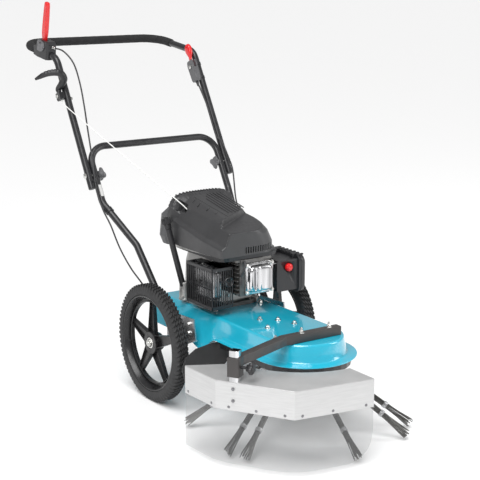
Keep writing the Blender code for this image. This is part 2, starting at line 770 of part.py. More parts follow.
def primer_bulb():
    profile = [(-0.006, 0), (-0.006, 0.0120), (0.004, 0.0120), (0.008, 0.0105), (0.0105, 0.007), (0.0115, 0)]
    turned("primer_bulb", profile, red_plastic(), PRIMER, (0, -1, 0), 20, origin=PRIMER)


def flywheel():
    """The fan flywheel under the shroud, on top of the crankshaft."""
    profile = [(0.462, 0.0), (0.462, 0.080), (0.466, 0.084), (0.480, 0.084), (0.480, 0.070), (0.500, 0.066),
               (0.500, 0.0)]
    turned("flywheel", profile, aluminium(), (0, CRANK_Y, 0), (0, 0, 1), 20, origin=(0, CRANK_Y, 0.48))


def recoil_reel():
    """The starter's rope reel, above the flywheel."""
    profile = [(0.506, 0.0), (0.506, 0.052), (0.512, 0.056), (0.528, 0.056), (0.536, 0.048), (0.536, 0.0)]
    turned("recoil_reel", profile, black_plastic(), (0, CRANK_Y, 0), (0, 0, 1), 20, origin=(0, CRANK_Y, 0.52))


# Drive

def grooved(radius, flange, low, high):
    """A pulley's outline from its lower flange to its upper one."""
    return [(low, flange), (low + 0.003, flange), (low + 0.0045, radius), (high - 0.0045, radius),
            (high - 0.003, flange), (high, flange)]


def crank_pulley():
    """The crankshaft with the drive pulley on its lower end."""
    low, high = BELT_Z - 0.0125, BELT_Z + 0.0125
    groove = grooved(CRANK_PULLEY_R, CRANK_PULLEY_R + 0.008, low, high)
    profile = [(low, 0)] + groove + [(high, 0.0115), (0.4617, 0.0115), (0.4617, 0)]
    turned("crank_pulley", profile, steel(), (0, CRANK_Y, 0), (0, 0, 1), 20, origin=(0, CRANK_Y, BELT_Z))


def spindle_housing():
    """The bearing housing bolted under the deck, which carries the rotor shaft."""
    top = DECK_TOP - DECK_T - GAP
    profile = [(0.2165, 0.0129), (0.2165, 0.034), (top - 0.006, 0.036), (top - 0.006, 0.062), (top, 0.062),
               (top, 0.0129)]
    turned("spindle_housing", profile, aluminium(), (0, ROTOR_Y, 0), (0, 0, 1), 20, closed=True)


def rotor_shaft():
    """The rotor's shaft, which ends in a collar and a blunt foot below the brush."""
    profile = [(0.108, 0), (0.108, 0.009), (0.112, 0.011), (0.160, 0.011), (0.162, 0.018),
               (HUB_BOTTOM - GAP, 0.018), (HUB_BOTTOM - GAP, 0.0125), (0.2745, 0.0125), (0.2745, 0)]
    turned("rotor_shaft", profile, steel(), (0, ROTOR_Y, 0), (0, 0, 1), 20, origin=(0, ROTOR_Y, BELT_Z))


def rotor_pulley():
    """A cup-shaped pulley that turns round the bearing housing."""
    low, high = BELT_Z - 0.0125, BELT_Z + 0.0125
    groove = grooved(ROTOR_PULLEY_R, ROTOR_PULLEY_R + 0.008, low, high)
    profile = [(0.208, 0.0128), (0.208, 0.050)] + groove + [(high, 0.040), (0.2125, 0.040), (0.2125, 0.0128)]
    turned("rotor_pulley", profile, steel(), (0, ROTOR_Y, 0), (0, 0, 1), 24, closed=True,
           origin=(0, ROTOR_Y, BELT_Z))


def belt_path(offset):
    """The belt's loop round both pulleys, anticlockwise, at an offset outside their grooves."""
    r1, r2 = CRANK_PULLEY_R + offset, ROTOR_PULLEY_R + offset
    tilt = asin((r2 - r1) / (CRANK_Y - ROTOR_Y))
    points = []
    for i in range(11):
        t = lerp(tilt, pi - tilt, i / 10)
        points.append((r1 * cos(t), CRANK_Y + r1 * sin(t)))
    for i in range(17):
        t = lerp(pi - tilt, 2 * pi + tilt, i / 16)
        points.append((r2 * cos(t), ROTOR_Y + r2 * sin(t)))
    return points


def drive_belt():
    half, thick = 0.0045, 0.007
    section = ((BELT_GAP, -half), (thick, -half), (thick, half), (BELT_GAP, half))
    rings = [[Vector((x, y, BELT_Z + dz)) for x, y in belt_path(out)] for out, dz in section]
    lofted("drive_belt", rings, rubber(), closed=True)


def idler_arm():
    """The arm that swings the idler pulley against the belt, with both of its pins."""
    px, py = IDLER_PIVOT
    ax, ay = IDLER_AT
    along = Vector((ax - px, ay - py, 0)).normalized()
    side = Vector((-along.y, along.x, 0)) * 0.010
    ends = (Vector((px, py, 0)) - along * 0.010, Vector((ax, ay, 0)) + along * 0.008)
    outline = [(p.x, p.y) for p in (ends[0] + side, ends[0] - side, ends[1] - side, ends[1] + side)]
    origin = (px, py, BELT_Z)
    arm = prism("idler_arm", outline, 0.2615, 0.2650, steel(), origin=origin)
    fuse(arm, turned("idler_pivot_pin", [(0.2600, 0), (0.2600, 0.007), (0.2749, 0.007), (0.2749, 0)], steel(),
                     (px, py, 0), (0, 0, 1), 12))
    fuse(arm, turned("idler_wheel_pin", [(0.2385, 0), (0.2385, 0.004), (0.2630, 0.004), (0.2630, 0)], steel(),
                     (ax, ay, 0), (0, 0, 1), 12))


def idler_pulley():
    low, high = BELT_Z - 0.007, BELT_Z + 0.0075
    profile = [(low, 0.0045), (low, IDLER_R - 0.002), (low + 0.002, IDLER_R), (high - 0.002, IDLER_R),
               (high, IDLER_R - 0.002), (high, 0.0045)]
    turned("idler_pulley", profile, steel(), (*IDLER_AT, 0), (0, 0, 1), 20, closed=True,
           origin=(*IDLER_AT, BELT_Z))


# Brush

def brush_hub():
    """The hub disc, with a cone round its rim that the bundles butt against."""
    slope = atan2(ROOT_Z - TIP_Z, TIP_R - ROOT_R)
    run, rise = sin(slope), cos(slope)
    low, high = (HUB_BOTTOM - ROOT_Z) / rise, 0.0105
    start, end = ROOT_R - 0.0004 + low * run, ROOT_R - 0.0004 + high * run
    profile = [(HUB_BOTTOM, 0.0128), (HUB_BOTTOM, start), (ROOT_Z + high * rise, end), (0.2005, end),
               (HUB_TOP, end - 0.010), (HUB_TOP, 0.0128)]
    turned("brush_hub", profile, black_paint(), (0, ROTOR_Y, 0), (0, 0, 1), 28, closed=True,
           origin=(0, ROTOR_Y, ROOT_Z))


def out_from_rotor(angle, radius, height):
    t = radians(angle)
    return Vector((-radius * sin(t), ROTOR_Y - radius * cos(t), height))


def wire_bundle(number, root_angle, tip_angle):
    """One bundle of wire rope: a ferrule, two crimp bands and a tip that flares out."""
    root = out_from_rotor(root_angle, ROOT_R, ROOT_Z)
    tip = out_from_rotor(tip_angle, TIP_R, TIP_Z)
    run = (tip - root).normalized()
    length = (tip - root).length
    radial = out_from_rotor(root_angle, 1.0, 0.0) - Vector((0, ROTOR_Y, 0))
    askew = Vector((run.x, run.y, 0)).angle(radial)
    start = 0.0004 + BAND_R * tan(askew)
    r, band = BUNDLE_R, BAND_R
    profile = [(start, 0), (start, band), (0.040, band), (0.0401, r)]
    for share in (0.40, 0.68):
        at = share * length
        profile += [(at - 0.0061, r), (at - 0.006, band), (at + 0.006, band), (at + 0.0061, r)]
    profile += [(length - 0.055, r + 0.001), (length, TIP_FLARE), (length, 0)]
    turned(f"wire_bundle_{number}", profile, steel(), root, run, 8, origin=(0, ROTOR_Y, ROOT_Z))


# Guard

def unit(a, b):
    run = (b[0] - a[0], b[1] - a[1])
    size = hypot(*run)
    return run[0] / size, run[1] / size


def wall_frame():
    """The middle wall of the guard: its start, its run and the direction inwards."""
    b, c = GUARD_CORNERS[1], GUARD_CORNERS[2]
    run = unit(b, c)
    return b, run, (-run[1], run[0])


def post_centre():
    start, run, inwards = wall_frame()
    return Vector((start[0] + run[0] * POST_ALONG + inwards[0] * POST_IN,
                   start[1] + run[1] * POST_ALONG + inwards[1] * POST_IN, 0))


def square_ring(centre, half, z, run):
    u = Vector((run[0], run[1], 0))
    v = Vector((-run[1], run[0], 0))
    return [centre + u * (half * a) + v * (half * b) + Vector((0, 0, z))
            for a, b in ((1, 1), (-1, 1), (-1, -1), (1, -1))]


def square_bar(name, half, low, high):
    """A solid square bar on the post's line, for cutting and joining."""
    run = wall_frame()[1]
    rings = [square_ring(post_centre(), half, z, run) for z in (low, high)]
    return lofted(name, rings, steel(), smooth=False)


def guard_post():
    """The square tube that carries the guard and slides in the arm's sleeve."""
    at, run = post_centre(), wall_frame()[1]
    low, high = GUARD_TOP - GUARD_WALL + 0.0165, 0.323
    outer, bore = POST_HALF, POST_HALF - POST_T
    rings = [square_ring(at, half, z, run) for half, z in ((outer, low), (outer, high), (bore, high), (bore, low))]
    lofted("guard_post", rings, chrome(), closed=True, smooth=False, origin=(at.x, at.y, GUARD_TOP))


def guard_plan():
    """The top plate's outline, from the rear corner round the front to the arc round the rotor."""
    arc = []
    for i in range(11):
        t = radians(lerp(3, 80, i / 10))
        arc.append((-GUARD_ARC_R * sin(t), ROTOR_Y - GUARD_ARC_R * cos(t)))
    return list(GUARD_CORNERS), arc


def guard_shell():
    """Bent sheet: a top plate and three walls that hang from its outer edges."""
    corners, arc = guard_plan()
    at = post_centre()

    def build(bm):
        top = [bm.verts.new((x, y, GUARD_TOP)) for x, y in corners + arc]
        bm.faces.new(top)
        low = [bm.verts.new((x, y, GUARD_TOP - GUARD_WALL)) for x, y in corners]
        for i in range(3):
            bm.faces.new((top[i + 1], top[i], low[i], low[i + 1]))

    shell = link("guard_shell", mesh_of("guard_shell", build), stainless(), smooth=False,
                 origin=(at.x, at.y, GUARD_TOP))
    face = shell.data.polygons[0]
    thick = shell.modifiers.new("thickness", "SOLIDIFY")
    thick.thickness = SHEET
    thick.offset = -1.0 if face.normal.z > 0 else 1.0
    thick.use_even_offset = True
    cut(shell, square_bar("guard_post_hole", POST_HALF + GAP, GUARD_TOP - 0.02, GUARD_TOP + 0.02))


def inset_path(corners, inwards):
    """A plan path moved inwards, with its corners kept mitred."""
    moved = []
    for i, corner in enumerate(corners):
        ahead = unit(corners[i], corners[i + 1]) if i < len(corners) - 1 else None
        behind = unit(corners[i - 1], corners[i]) if i else None
        first, second = behind or ahead, ahead or behind
        n1, n2 = (-first[1], first[0]), (-second[1], second[0])
        share = inwards / (1 + n1[0] * n2[0] + n1[1] * n2[1])
        moved.append((corner[0] + (n1[0] + n2[0]) * share, corner[1] + (n1[1] + n2[1]) * share))
    return moved


def skirt_low(share):
    """The skirt's lower edge, which curves up towards its free end."""
    end = 0.87
    if share < end:
        return SKIRT_Z
    t = (share - end) / (1 - end)
    return SKIRT_Z + (SKIRT_END_Z - SKIRT_Z) * (1 - sqrt(max(0.0, 1 - t * t)))


def clear_skirt():
    """The clear plastic skirt inside the guard's walls, bent on a round at the corners."""
    path = inset_path(GUARD_CORNERS, SHEET + GAP)
    bends = rounded_path([(x, y, 0) for x, y in path], (0.018, 0.018), 3)
    points = [bends[0]]
    for a, b in zip(bends, bends[1:]):
        pieces = LAST_RUN_PIECES if b == bends[-1] else max(1, round((b - a).length / SKIRT_PIECE))
        points += [a.lerp(b, k / pieces) for k in range(1, pieces + 1)]
    total = sum((b - a).length for a, b in zip(points, points[1:]))
    outer, inner, travelled = [], [], 0.0
    for i, here in enumerate(points):
        if i:
            travelled += (here - points[i - 1]).length
        ahead = (points[min(i + 1, len(points) - 1)] - points[max(i - 1, 0)]).normalized()
        inwards = Vector((-ahead.y, ahead.x, 0))
        low = skirt_low(travelled / total)
        outer.append((here, low))
        inner.append((here + inwards * SHEET, low))
    top = GUARD_TOP - GUARD_WALL + 0.014
    rings = [[p + Vector((0, 0, z)) for p, z in ((a, top), (a, low), (b, low), (b, top))]
             for (a, low), (b, _) in zip(outer, inner)]
    at = post_centre()
    lofted("clear_skirt", rings, clear_sheet(), smooth=False, origin=(at.x, at.y, GUARD_TOP))


def guard_arm():
    """The square arm across the deck's nose, with the sleeve that takes the guard's post."""
    at = post_centre()
    z = DECK_TOP + ARM_HALF + GAP
    path = [Vector((ARM_END_X, ARM_Y, z)), Vector((*KNEE, z)), Vector((at.x, at.y, z))]
    runs = [(path[1] - path[0]).normalized(), (path[2] - path[1]).normalized()]
    up = Vector((0, 0, 1))
    rings = []
    for size in (ARM_HALF, ARM_HALF - ARM_WALL):
        stations = []
        for p, before, after in zip(path, (runs[0], *runs), (*runs, runs[1])):
            mitre = before.cross(up) + after.cross(up)
            mitre = mitre * (2 / mitre.length_squared)
            stations.append([p + mitre * (size * a) + up * (size * b)
                             for a, b in ((1, 1), (-1, 1), (-1, -1), (1, -1))])
        rings += stations if size == ARM_HALF else stations[::-1]
    arm = lofted("guard_arm", rings, arm_paint(), closed=True, smooth=False)
    fuse(arm, square_bar("sleeve_outside", SLEEVE_HALF, SLEEVE_LOW, SLEEVE_HIGH))
    cut(arm, square_bar("sleeve_inside", POST_HALF + GAP, 0.2, 0.4))


def lobed(name, levels, lobes, finish, centre, axis, sides=20, origin=None):
    """A knob: levels of (distance, radius, depth of the lobes) along an axis."""
    side, up = axes_along(axis)
    centre, axis = Vector(centre), Vector(axis).normalized()
    rings = []
    for d, radius, depth in levels:
        ring = []
        for i in range(sides):
            t = 2 * pi * i / sides
            r = radius * (1 - depth * (0.5 - 0.5 * cos(lobes * t)))
            ring.append(centre + axis * d + side * (r * cos(t)) + up * (r * sin(t)))
        rings.append(ring)
    return lofted(name, rings, finish, origin=origin)


def guard_knob():
    run = wall_frame()[1]
    at = post_centre() + Vector((0, 0, 0.279))
    axis = Vector((run[0], run[1], 0))
    levels = [(SLEEVE_HALF + GAP, 0.004, 0), (0.033, 0.004, 0), (0.0331, 0.009, 0), (0.038, 0.010, 0),
              (0.040, 0.0165, 0.25), (0.050, 0.0165, 0.25), (0.053, 0.012, 0.2)]
    lobed("guard_knob", levels, 5, black_plastic(), at, axis, origin=at)


# Handle

def lean(distance, x=0.0):
    """A point on the handle's line, at a distance up from the joint."""
    return Vector((x, JOINT_Y + distance * sin(LEAN), JOINT_Z + distance * cos(LEAN)))


def lower_handle_points():
    """The lower tube's centreline, from the right foot over the cross bar to the left foot."""
    foot = Vector((-0.1765, -0.040, 0.205))
    knee = Vector((-0.190, 0.159, 0.4405))
    waist = lean(-0.093, -LEG_X)
    shoulder = lean(0.094, -LEG_X)
    right = [foot, knee, waist, shoulder]
    left = [Vector((-p.x, p.y, p.z)) for p in reversed(right)]
    return rounded_path(right + left, (0.055, 0.060, 0.060, 0.060, 0.060, 0.055), 3)


def lower_handle():
    handle = hollow_tube("lower_handle", lower_handle_points(), TUBE_R, TUBE_R - TUBE_WALL, black_paint())
    for side in (-1, 1):
        cut(handle, bore_tool(f"joint_bore_{side}", lean(0, side * LEG_X), (1, 0, 0), 0.0043, 0.02, 12))


def upper_handle_points():
    """The upper tube's centreline, from the right foot round the grip bar to the left foot."""
    foot = lean(-0.042, -UPPER_X)
    bend = lean(LEG_UP, -UPPER_X)
    corner = bend + Vector((0, BACK * cos(RISE), BACK * sin(RISE)))
    right = [foot, bend, corner]
    left = [Vector((-p.x, p.y, p.z)) for p in reversed(right)]
    return rounded_path(right + left, (0.055, 0.070, 0.070, 0.055), BEND_STEPS)


def upper_handle():
    pivot = lean(0)
    handle = hollow_tube("upper_handle", upper_handle_points(), TUBE_R, TUBE_R - TUBE_WALL, black_paint(),
                         origin=pivot)
    for side in (-1, 1):
        cut(handle, bore_tool(f"pivot_bore_{side}", lean(0, side * UPPER_X), (1, 0, 0), 0.0043, 0.02, 12))


def foam_grip():
    """The foam sleeve over the grip bar and the corners beside it."""
    points = upper_handle_points()
    skip = BEND_STEPS + 2
    kept = points[skip:-skip]
    before, after = points[skip - 1], points[-skip]
    share = (FOAM_START_Y - before.y) / (kept[0].y - before.y)
    first = before.lerp(kept[0], share)
    last = after.lerp(kept[-1], share)
    outer = tube_rings([first] + kept + [last], FOAM_R, 8, (1, 0, 0))
    inner = tube_rings([first] + kept + [last], (TUBE_R + GAP) / cos(pi / 8), 8, (1, 0, 0))
    lofted("foam_grip", outer + inner[::-1], foam(), closed=True, origin=lean(0))


def handle_knob(side):
    """The knob on the inner side of the joint, with the bolt that it draws through both tubes."""
    name = "right_handle_knob" if side < 0 else "left_handle_knob"
    centre = lean(0, side * LEG_X)
    start = TUBE_R + GAP
    levels = [(start, 0.0125, 0), (start + 0.006, 0.0125, 0), (start + 0.008, 0.024, 0.35),
              (start + 0.018, 0.024, 0.35), (start + 0.021, 0.018, 0.3)]
    knob = lobed(name, levels, 3, black_plastic(), centre, (-side, 0, 0), origin=centre)
    outside = UPPER_X - LEG_X + TUBE_R + GAP
    profile = [(-start - 0.005, 0), (-start - 0.005, 0.004), (outside, 0.004), (outside, 0.0095),
               (outside + 0.003, 0.0085), (outside + 0.0055, 0.004), (outside + 0.0055, 0)]
    fuse(knob, turned(name + "_bolt", profile, chrome(), centre, (side, 0, 0), 12))


# Controls

def side_run_point(y, x):
    """A point on the upper handle's side run at the given y."""
    bend = lean(LEG_UP)
    return Vector((x, y, bend.z + (y - bend.y) * tan(RISE)))


def clamp_frame():
    """The clamp's middle on the side run, with the run's direction and the one square to it."""
    at = side_run_point(LEVER_Y, -UPPER_X)
    return at, Vector((0, cos(RISE), sin(RISE))), Vector((0, -sin(RISE), cos(RISE)))


def lever_clamp():
    """The bracket round the side tube that carries the clutch lever between two ears."""
    at, rise, up = clamp_frame()
    x = Vector((1, 0, 0))

    def ring(y, half_x, low, high):
        return [at + rise * y + x * (half_x * a) + up * b for a, b in ((1, high), (-1, high), (-1, low), (1, low))]

    rings = [ring(CLAMP_FRONT, 0.013, -0.014, 0.036), ring(-0.044, 0.016, -0.016, 0.042),
             ring(0.018, 0.016, -0.016, 0.042), ring(0.032, 0.015, -0.015, 0.017), ring(0.050, 0.014, -0.014, 0.015)]
    clamp = lofted("lever_clamp", rings, black_plastic(), smooth=False, origin=lean(0))
    cut(clamp, bore_tool("clamp_bore", at, rise, TUBE_R + GAP, 0.12, 20))
    corners = ((-0.020, 1), (0.1, 1), (0.1, -1), (-0.020, -1))
    floor = [at + rise * y + x * (0.0068 * a) + up * 0.0205 for y, a in corners]
    cut(clamp, lofted("clamp_slot", [floor, [p + up * 0.05 for p in floor]], steel(), smooth=False))


def lever_pivot():
    at, _, up = clamp_frame()
    return at + up * PIVOT_UP


def clutch_lever():
    """The long red hand lever, at rest upright."""
    pivot = lever_pivot()
    stations = ((-0.0065, 0.0090, 0.0050), (0.012, 0.0120, 0.0060), (0.050, 0.0110, 0.0060),
                (0.125, 0.0080, 0.0055), (0.131, 0.0060, 0.0045))
    lean_forward = Vector((0, -0.25, 1)).normalized()
    across = Vector((0, 1, 0.25)).normalized()
    rings = []
    for d, half_y, half_x in stations:
        outline = rounded_rectangle(-half_x, half_x, -half_y, half_y, half_x * 0.7, 2)
        rings.append([pivot + lean_forward * d + Vector((u, 0, 0)) + across * v for u, v in outline])
    lofted("clutch_lever", rings, red_plastic(), origin=pivot)


def throttle_frame():
    """The throttle housing's middle on the left leg, with the leg's run."""
    at = lean(THROTTLE_UP, UPPER_X - TUBE_R - 0.0095)
    run = Vector((0, sin(LEAN), cos(LEAN)))
    return at, run, Vector((0, -cos(LEAN), sin(LEAN)))


def throttle_housing():
    """The throttle's casing, bolted to the inner side of the left leg."""
    at, run, front = throttle_frame()
    half_x = 0.0090
    stations = ((-0.042, 0.010), (-0.034, 0.015), (0.020, 0.018), (0.034, 0.013))

    def ring(d, half):
        return [at + run * d + Vector((half_x * a, 0, 0)) + front * (half * b)
                for a, b in ((1, 1), (-1, 1), (-1, -1), (1, -1))]

    casing = lofted("throttle_housing", [ring(d, h) for d, h in stations], black_plastic(), smooth=False,
                    origin=lean(0))
    low = [at + run * 0.006 + Vector((0.0042 * a, 0, 0)) + front * b
           for a, b in ((1, -0.05), (1, 0.05), (-1, 0.05), (-1, -0.05))]
    high = [p + run * 0.05 for p in low]
    cut(casing, lofted("throttle_slot", [low, high], steel(), smooth=False))


def throttle_lever():
    """The small red lever with its thumb paddle."""
    at, run, front = throttle_frame()
    pivot = at + run * 0.012
    stations = ((-0.0045, 0.0036, 0.0036), (0.006, 0.0070, 0.0036), (0.030, 0.0060, 0.0036),
                (0.040, 0.0065, 0.0060), (0.054, 0.0120, 0.0065), (0.068, 0.0110, 0.0060), (0.074, 0.0060, 0.0040))
    rings = []
    for d, half_front, half_x in stations:
        outline = rounded_rectangle(-half_x, half_x, -half_front, half_front, half_x * 0.7, 2)
        rings.append([pivot + run * d + Vector((u, 0, 0)) + front * (v + 0.004 * (d > 0.03)) for u, v in outline])
    lofted("throttle_lever", rings, red_plastic(), origin=pivot)


def rope_guide():
    """The guide for the starter rope, bolted to the outer side of the right leg."""
    at = lean(GUIDE_UP, GUIDE_X)
    run = Vector((0, sin(LEAN), cos(LEAN)))
    front = Vector((0, -cos(LEAN), sin(LEAN)))

    def ring(x, half_run, half_front):
        return [at + Vector((x, 0, 0)) + run * (half_run * a) + front * (half_front * b)
                for a, b in ((1, 1), (-1, 1), (-1, -1), (1, -1))]

    rings = [ring(0.010, 0.010, 0.010), ring(-0.008, 0.013, 0.010), ring(-0.012, 0.011, 0.008)]
    lofted("rope_guide", rings, black_plastic(), smooth=False, origin=lean(0))


def grip_seat():
    """Where the starter grip rests on the rope guide."""
    return lean(GUIDE_UP + 0.0135, -UPPER_X - TUBE_R - GAP - 0.011)


def starter_grip():
    """The curved starter handle."""
    seat = grip_seat()
    run = Vector((0, sin(LEAN), cos(LEAN)))
    route = [seat + run * 0.0012, seat + run * 0.016,
             seat + Vector((0.004, -0.006, 0.034)), seat + Vector((-0.008, -0.010, 0.052)),
             seat + Vector((-0.034, -0.002, 0.058)), seat + Vector((-0.062, 0.014, 0.046)),
             seat + Vector((-0.080, 0.024, 0.032))]
    points = smooth_route(route, 2)
    sizes = [0.0075, 0.0085, 0.0090, 0.0100, 0.0110, 0.0115, 0.0115, 0.0115, 0.0110, 0.0105, 0.0100, 0.0080, 0.0035]
    frames = path_frames(points, (0, 1, 0))
    rings = [circle_points(p, s, u, r, 10) for p, (s, u), r in zip(points, frames, sizes)]
    lofted("starter_grip", rings, black_plastic(), origin=seat)


# Cables

def clutch_cable():
    """From the clutch lever's clamp down the right leg and in under the deck."""
    at, rise, up = clamp_frame()
    start = at + rise * (CLAMP_FRONT - GAP) + up * 0.027
    route = [start, start - rise * 0.012, (-0.250, 0.500, 1.012), (-0.240, 0.452, 0.978), (-0.234, 0.424, 0.920),
             (-0.230, 0.406, 0.850), (-0.230, 0.386, 0.775), (-0.240, 0.342, 0.690), (-0.2535, 0.301, 0.625),
             (-0.252, 0.282, 0.575), (-0.252, 0.252, 0.538), (-0.250, 0.212, 0.500), (-0.240, 0.176, 0.435),
             (-0.222, 0.140, 0.375), (-0.198, 0.110, 0.325), (-0.165, 0.130, 0.270), (-0.110, 0.180, 0.232),
             (-0.060, 0.170, 0.232), (-0.060, 0.1545, 0.236)]
    cord("clutch_cable", smooth_route(route, 3), 0.0025, rubber())


def throttle_cable():
    """From the throttle down the left leg to the carburettor."""
    at, run, front = throttle_frame()
    start = at - run * 0.0430
    route = [start, start - run * 0.020 + front * 0.004, start - run * 0.100 + front * 0.016,
             start - run * 0.200 + front * 0.016, lean(0.060, 0.247) + front * 0.024,
             lean(0.0, 0.2535) + front * 0.0265, lean(-0.045, 0.256) + front * 0.024, (0.248, 0.262, 0.520),
             (0.226, 0.200, 0.470), (0.190, 0.110, 0.446), (0.150, 0.022, 0.434), (0.108, -0.016, 0.418),
             (0.0850, -0.040, 0.400), (0.0834, -0.070, 0.386), (0.0834, -0.0990, 0.384)]
    cord("throttle_cable", smooth_route(route, 3), 0.0025, rubber())


def starter_rope():
    """From the rope guide down into the engine cover."""
    start = lean(GUIDE_UP - 0.0124, GUIDE_X)
    route = [start, start + Vector((0.002, -0.008, -0.011)), start + Vector((0.016, -0.038, -0.034)),
             (-0.189, 0.245, 0.712), (-0.1165, 0.068, 0.600), (-0.096, 0.022, 0.568), (-0.083, 0.004, 0.545)]
    cord("starter_rope", smooth_route(route, 3), 0.0018, rope_white())


def move_to_frame():
    """Moves the whole machine so that the frame's origin is below the middle of its outline."""
    for obj in bpy.data.objects:
        obj.location -= FRAME_ORIGIN


def build_part():
    clear_scene()
    for side in (-1, 1):
        wheel(side)
        axle_plate(side)
        handle_knob(side)
    for make in (axle, deck, bottom_cover, rear_flap, engine_block, valve_cover, muffler, muffler_guard,
                 engine_shroud, fuel_tank, fuel_cap, dipstick_tube, dipstick, carburettor, air_filter_base,
                 air_filter_cover, primer_bulb, flywheel, recoil_reel, crank_pulley, spindle_housing,
                 rotor_shaft, rotor_pulley, drive_belt, idler_arm, idler_pulley, brush_hub, guard_post, guard_shell,
                 clear_skirt, guard_arm, guard_knob, lower_handle, upper_handle, foam_grip, lever_clamp,
                 clutch_lever, throttle_housing, throttle_lever, rope_guide,
                 starter_grip, clutch_cable, throttle_cable, starter_rope):
        make()
    for number, (root_angle, tip_angle) in enumerate(BUNDLES, 1):
        wire_bundle(number, root_angle, tip_angle)
    move_to_frame()


build_part()
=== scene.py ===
"""Looks of the walk-behind weed brush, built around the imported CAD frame. Metres."""
from math import cos, pi, radians, sin, sqrt, tan
from random import Random

import bmesh
import bpy
import numpy as np
from mathutils import Matrix, Vector


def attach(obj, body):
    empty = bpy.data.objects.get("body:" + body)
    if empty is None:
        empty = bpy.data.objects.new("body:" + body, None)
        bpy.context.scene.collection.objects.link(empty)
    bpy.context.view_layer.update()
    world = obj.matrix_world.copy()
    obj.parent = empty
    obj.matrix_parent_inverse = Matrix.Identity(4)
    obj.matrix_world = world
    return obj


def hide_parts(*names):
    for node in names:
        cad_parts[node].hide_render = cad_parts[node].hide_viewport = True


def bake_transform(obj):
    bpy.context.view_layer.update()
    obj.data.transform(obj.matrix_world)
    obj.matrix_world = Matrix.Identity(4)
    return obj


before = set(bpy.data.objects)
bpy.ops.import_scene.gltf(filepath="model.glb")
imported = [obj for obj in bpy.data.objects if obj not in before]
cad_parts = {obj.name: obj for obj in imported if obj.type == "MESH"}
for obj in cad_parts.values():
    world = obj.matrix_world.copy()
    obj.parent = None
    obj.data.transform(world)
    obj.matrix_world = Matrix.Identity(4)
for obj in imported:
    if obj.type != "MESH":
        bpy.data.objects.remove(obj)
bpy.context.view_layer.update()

# The machine's own frame has the axle at y = 0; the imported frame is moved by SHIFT.
SHIFT = Vector((0.0444, -0.0173, 0.0))
X, Y, Z = Vector((1, 0, 0)), Vector((0, 1, 0)), Vector((0, 0, 1))
GAP = 0.0003    # the play between two parts

WHEEL_R, WHEEL_IN, WHEEL_OUT, LUGS, SPOKES = 0.178, 0.211, 0.252, 76, 5

# The deck's lower edge drops from FLANGE_Z to TAIL_Z between FADE_Y and TAIL_Y, then rises to REAR_Z.
DECK_TOP, DECK_T, DECK_HALF, NOSE_Y = 0.2785, 0.003, 0.113, -0.440
SIDE_FRONT_Y, SIDE_REAR_Y = -0.330, 0.150
FLANGE_Z, TAIL_Z, REAR_Z, FADE_Y, TAIL_Y = 0.2235, 0.1765, 0.197, -0.215, -0.132

# Each wire bundle has the angles of its root and its tip round the rotor, in degrees.
ROTOR_Y = -0.415
ROOT_R, ROOT_Z, TIP_R, TIP_Z, BAND_R, WIRE_R = 0.0785, 0.187, 0.324, 0.0131, 0.0101, 0.00118
BUNDLES = ((120, 120), (80, 73), (56, 63), (7, 7), (-31, -34), (-53, -50), (-126, -126), (172, 172))

# The handle folds at the joint. Its legs lean back by LEAN and the side runs behind them climb by RISE.
TUBE_R, TUBE_WALL, LEG_X, UPPER_X, LEG_UP, BACK = 0.011, 0.0018, 0.235, 0.2575, 0.405, 0.248
JOINT_Y, JOINT_Z, LEAN, RISE = 0.335, 0.637, radians(29.5), radians(7.5)
LEG_RUN, LEG_FRONT = Vector((0, sin(LEAN), cos(LEAN))), Vector((0, -cos(LEAN), sin(LEAN)))
WAIST_AT, FOOT_AT, KNEE = -0.093, -0.042, Vector((-0.190, 0.159, 0.4405))
FOAM_R, FOAM_Y = 0.0145, 0.677
CLAMP_Y, THROTTLE_AT, GUIDE_AT, GUIDE_X = 0.622, 0.335, 0.272, -UPPER_X - TUBE_R - GAP
CABLE_R, ROPE_R, CLIP_SPOT = 0.0025, 0.0018, (-0.2535, 0.301, 0.625)

# The guard's plan corners, the square tube of its arm and post, and the clear skirt below it.
GUARD_TOP, GUARD_LOW, SHEET, GUARD_ARC_R = 0.240, 0.240 - 0.077, 0.002, 0.243
GUARD_CORNERS = ((-0.363, -0.393), (-0.358, -0.534), (-0.243, -0.722), (-0.014, -0.760))
POST_ALONG, POST_HALF, POST_WALL, POST_TOP = 0.050, 0.0125, 0.002, 0.323
SLEEVE_HALF, SLEEVE_LOW, SLEEVE_HIGH = 0.0165, 0.2535, 0.305
SKIRT_T, SKIRT_Z, SKIRT_END_Z, SKIRT_CURL = 0.002, 0.016, 0.095, 0.87

# Every outer point of the engine cover can be seen from its eye. The hoop stands round its rear edge.
COVER_EYE, COVER_REAR, EDGE_K = (-0.012, -0.060, 0.458), 0.0795, 1000
HOOP_X, HOOP_Z, HOOP_HALF_X, HOOP_HALF_Z, HOOP_POWER = -0.012, 0.5, 0.1155, 0.1045, 4.5


# Materials

def noise(tree, scale, detail=4.0, stretch=(1, 1, 1), rough=0.55):
    """A noise texture on the piece's own coordinates. scale is in cells per metre."""
    coords = tree.nodes.new("ShaderNodeTexCoord")
    place = tree.nodes.new("ShaderNodeMapping")
    place.inputs["Scale"].default_value = stretch
    tex = tree.nodes.new("ShaderNodeTexNoise")
    tex.inputs["Scale"].default_value = scale
    tex.inputs["Detail"].default_value = detail
    tex.inputs["Roughness"].default_value = rough
    tree.links.new(coords.outputs["Object"], place.inputs["Vector"])
    tree.links.new(place.outputs["Vector"], tex.inputs["Vector"])
    return tex.outputs["Fac"]


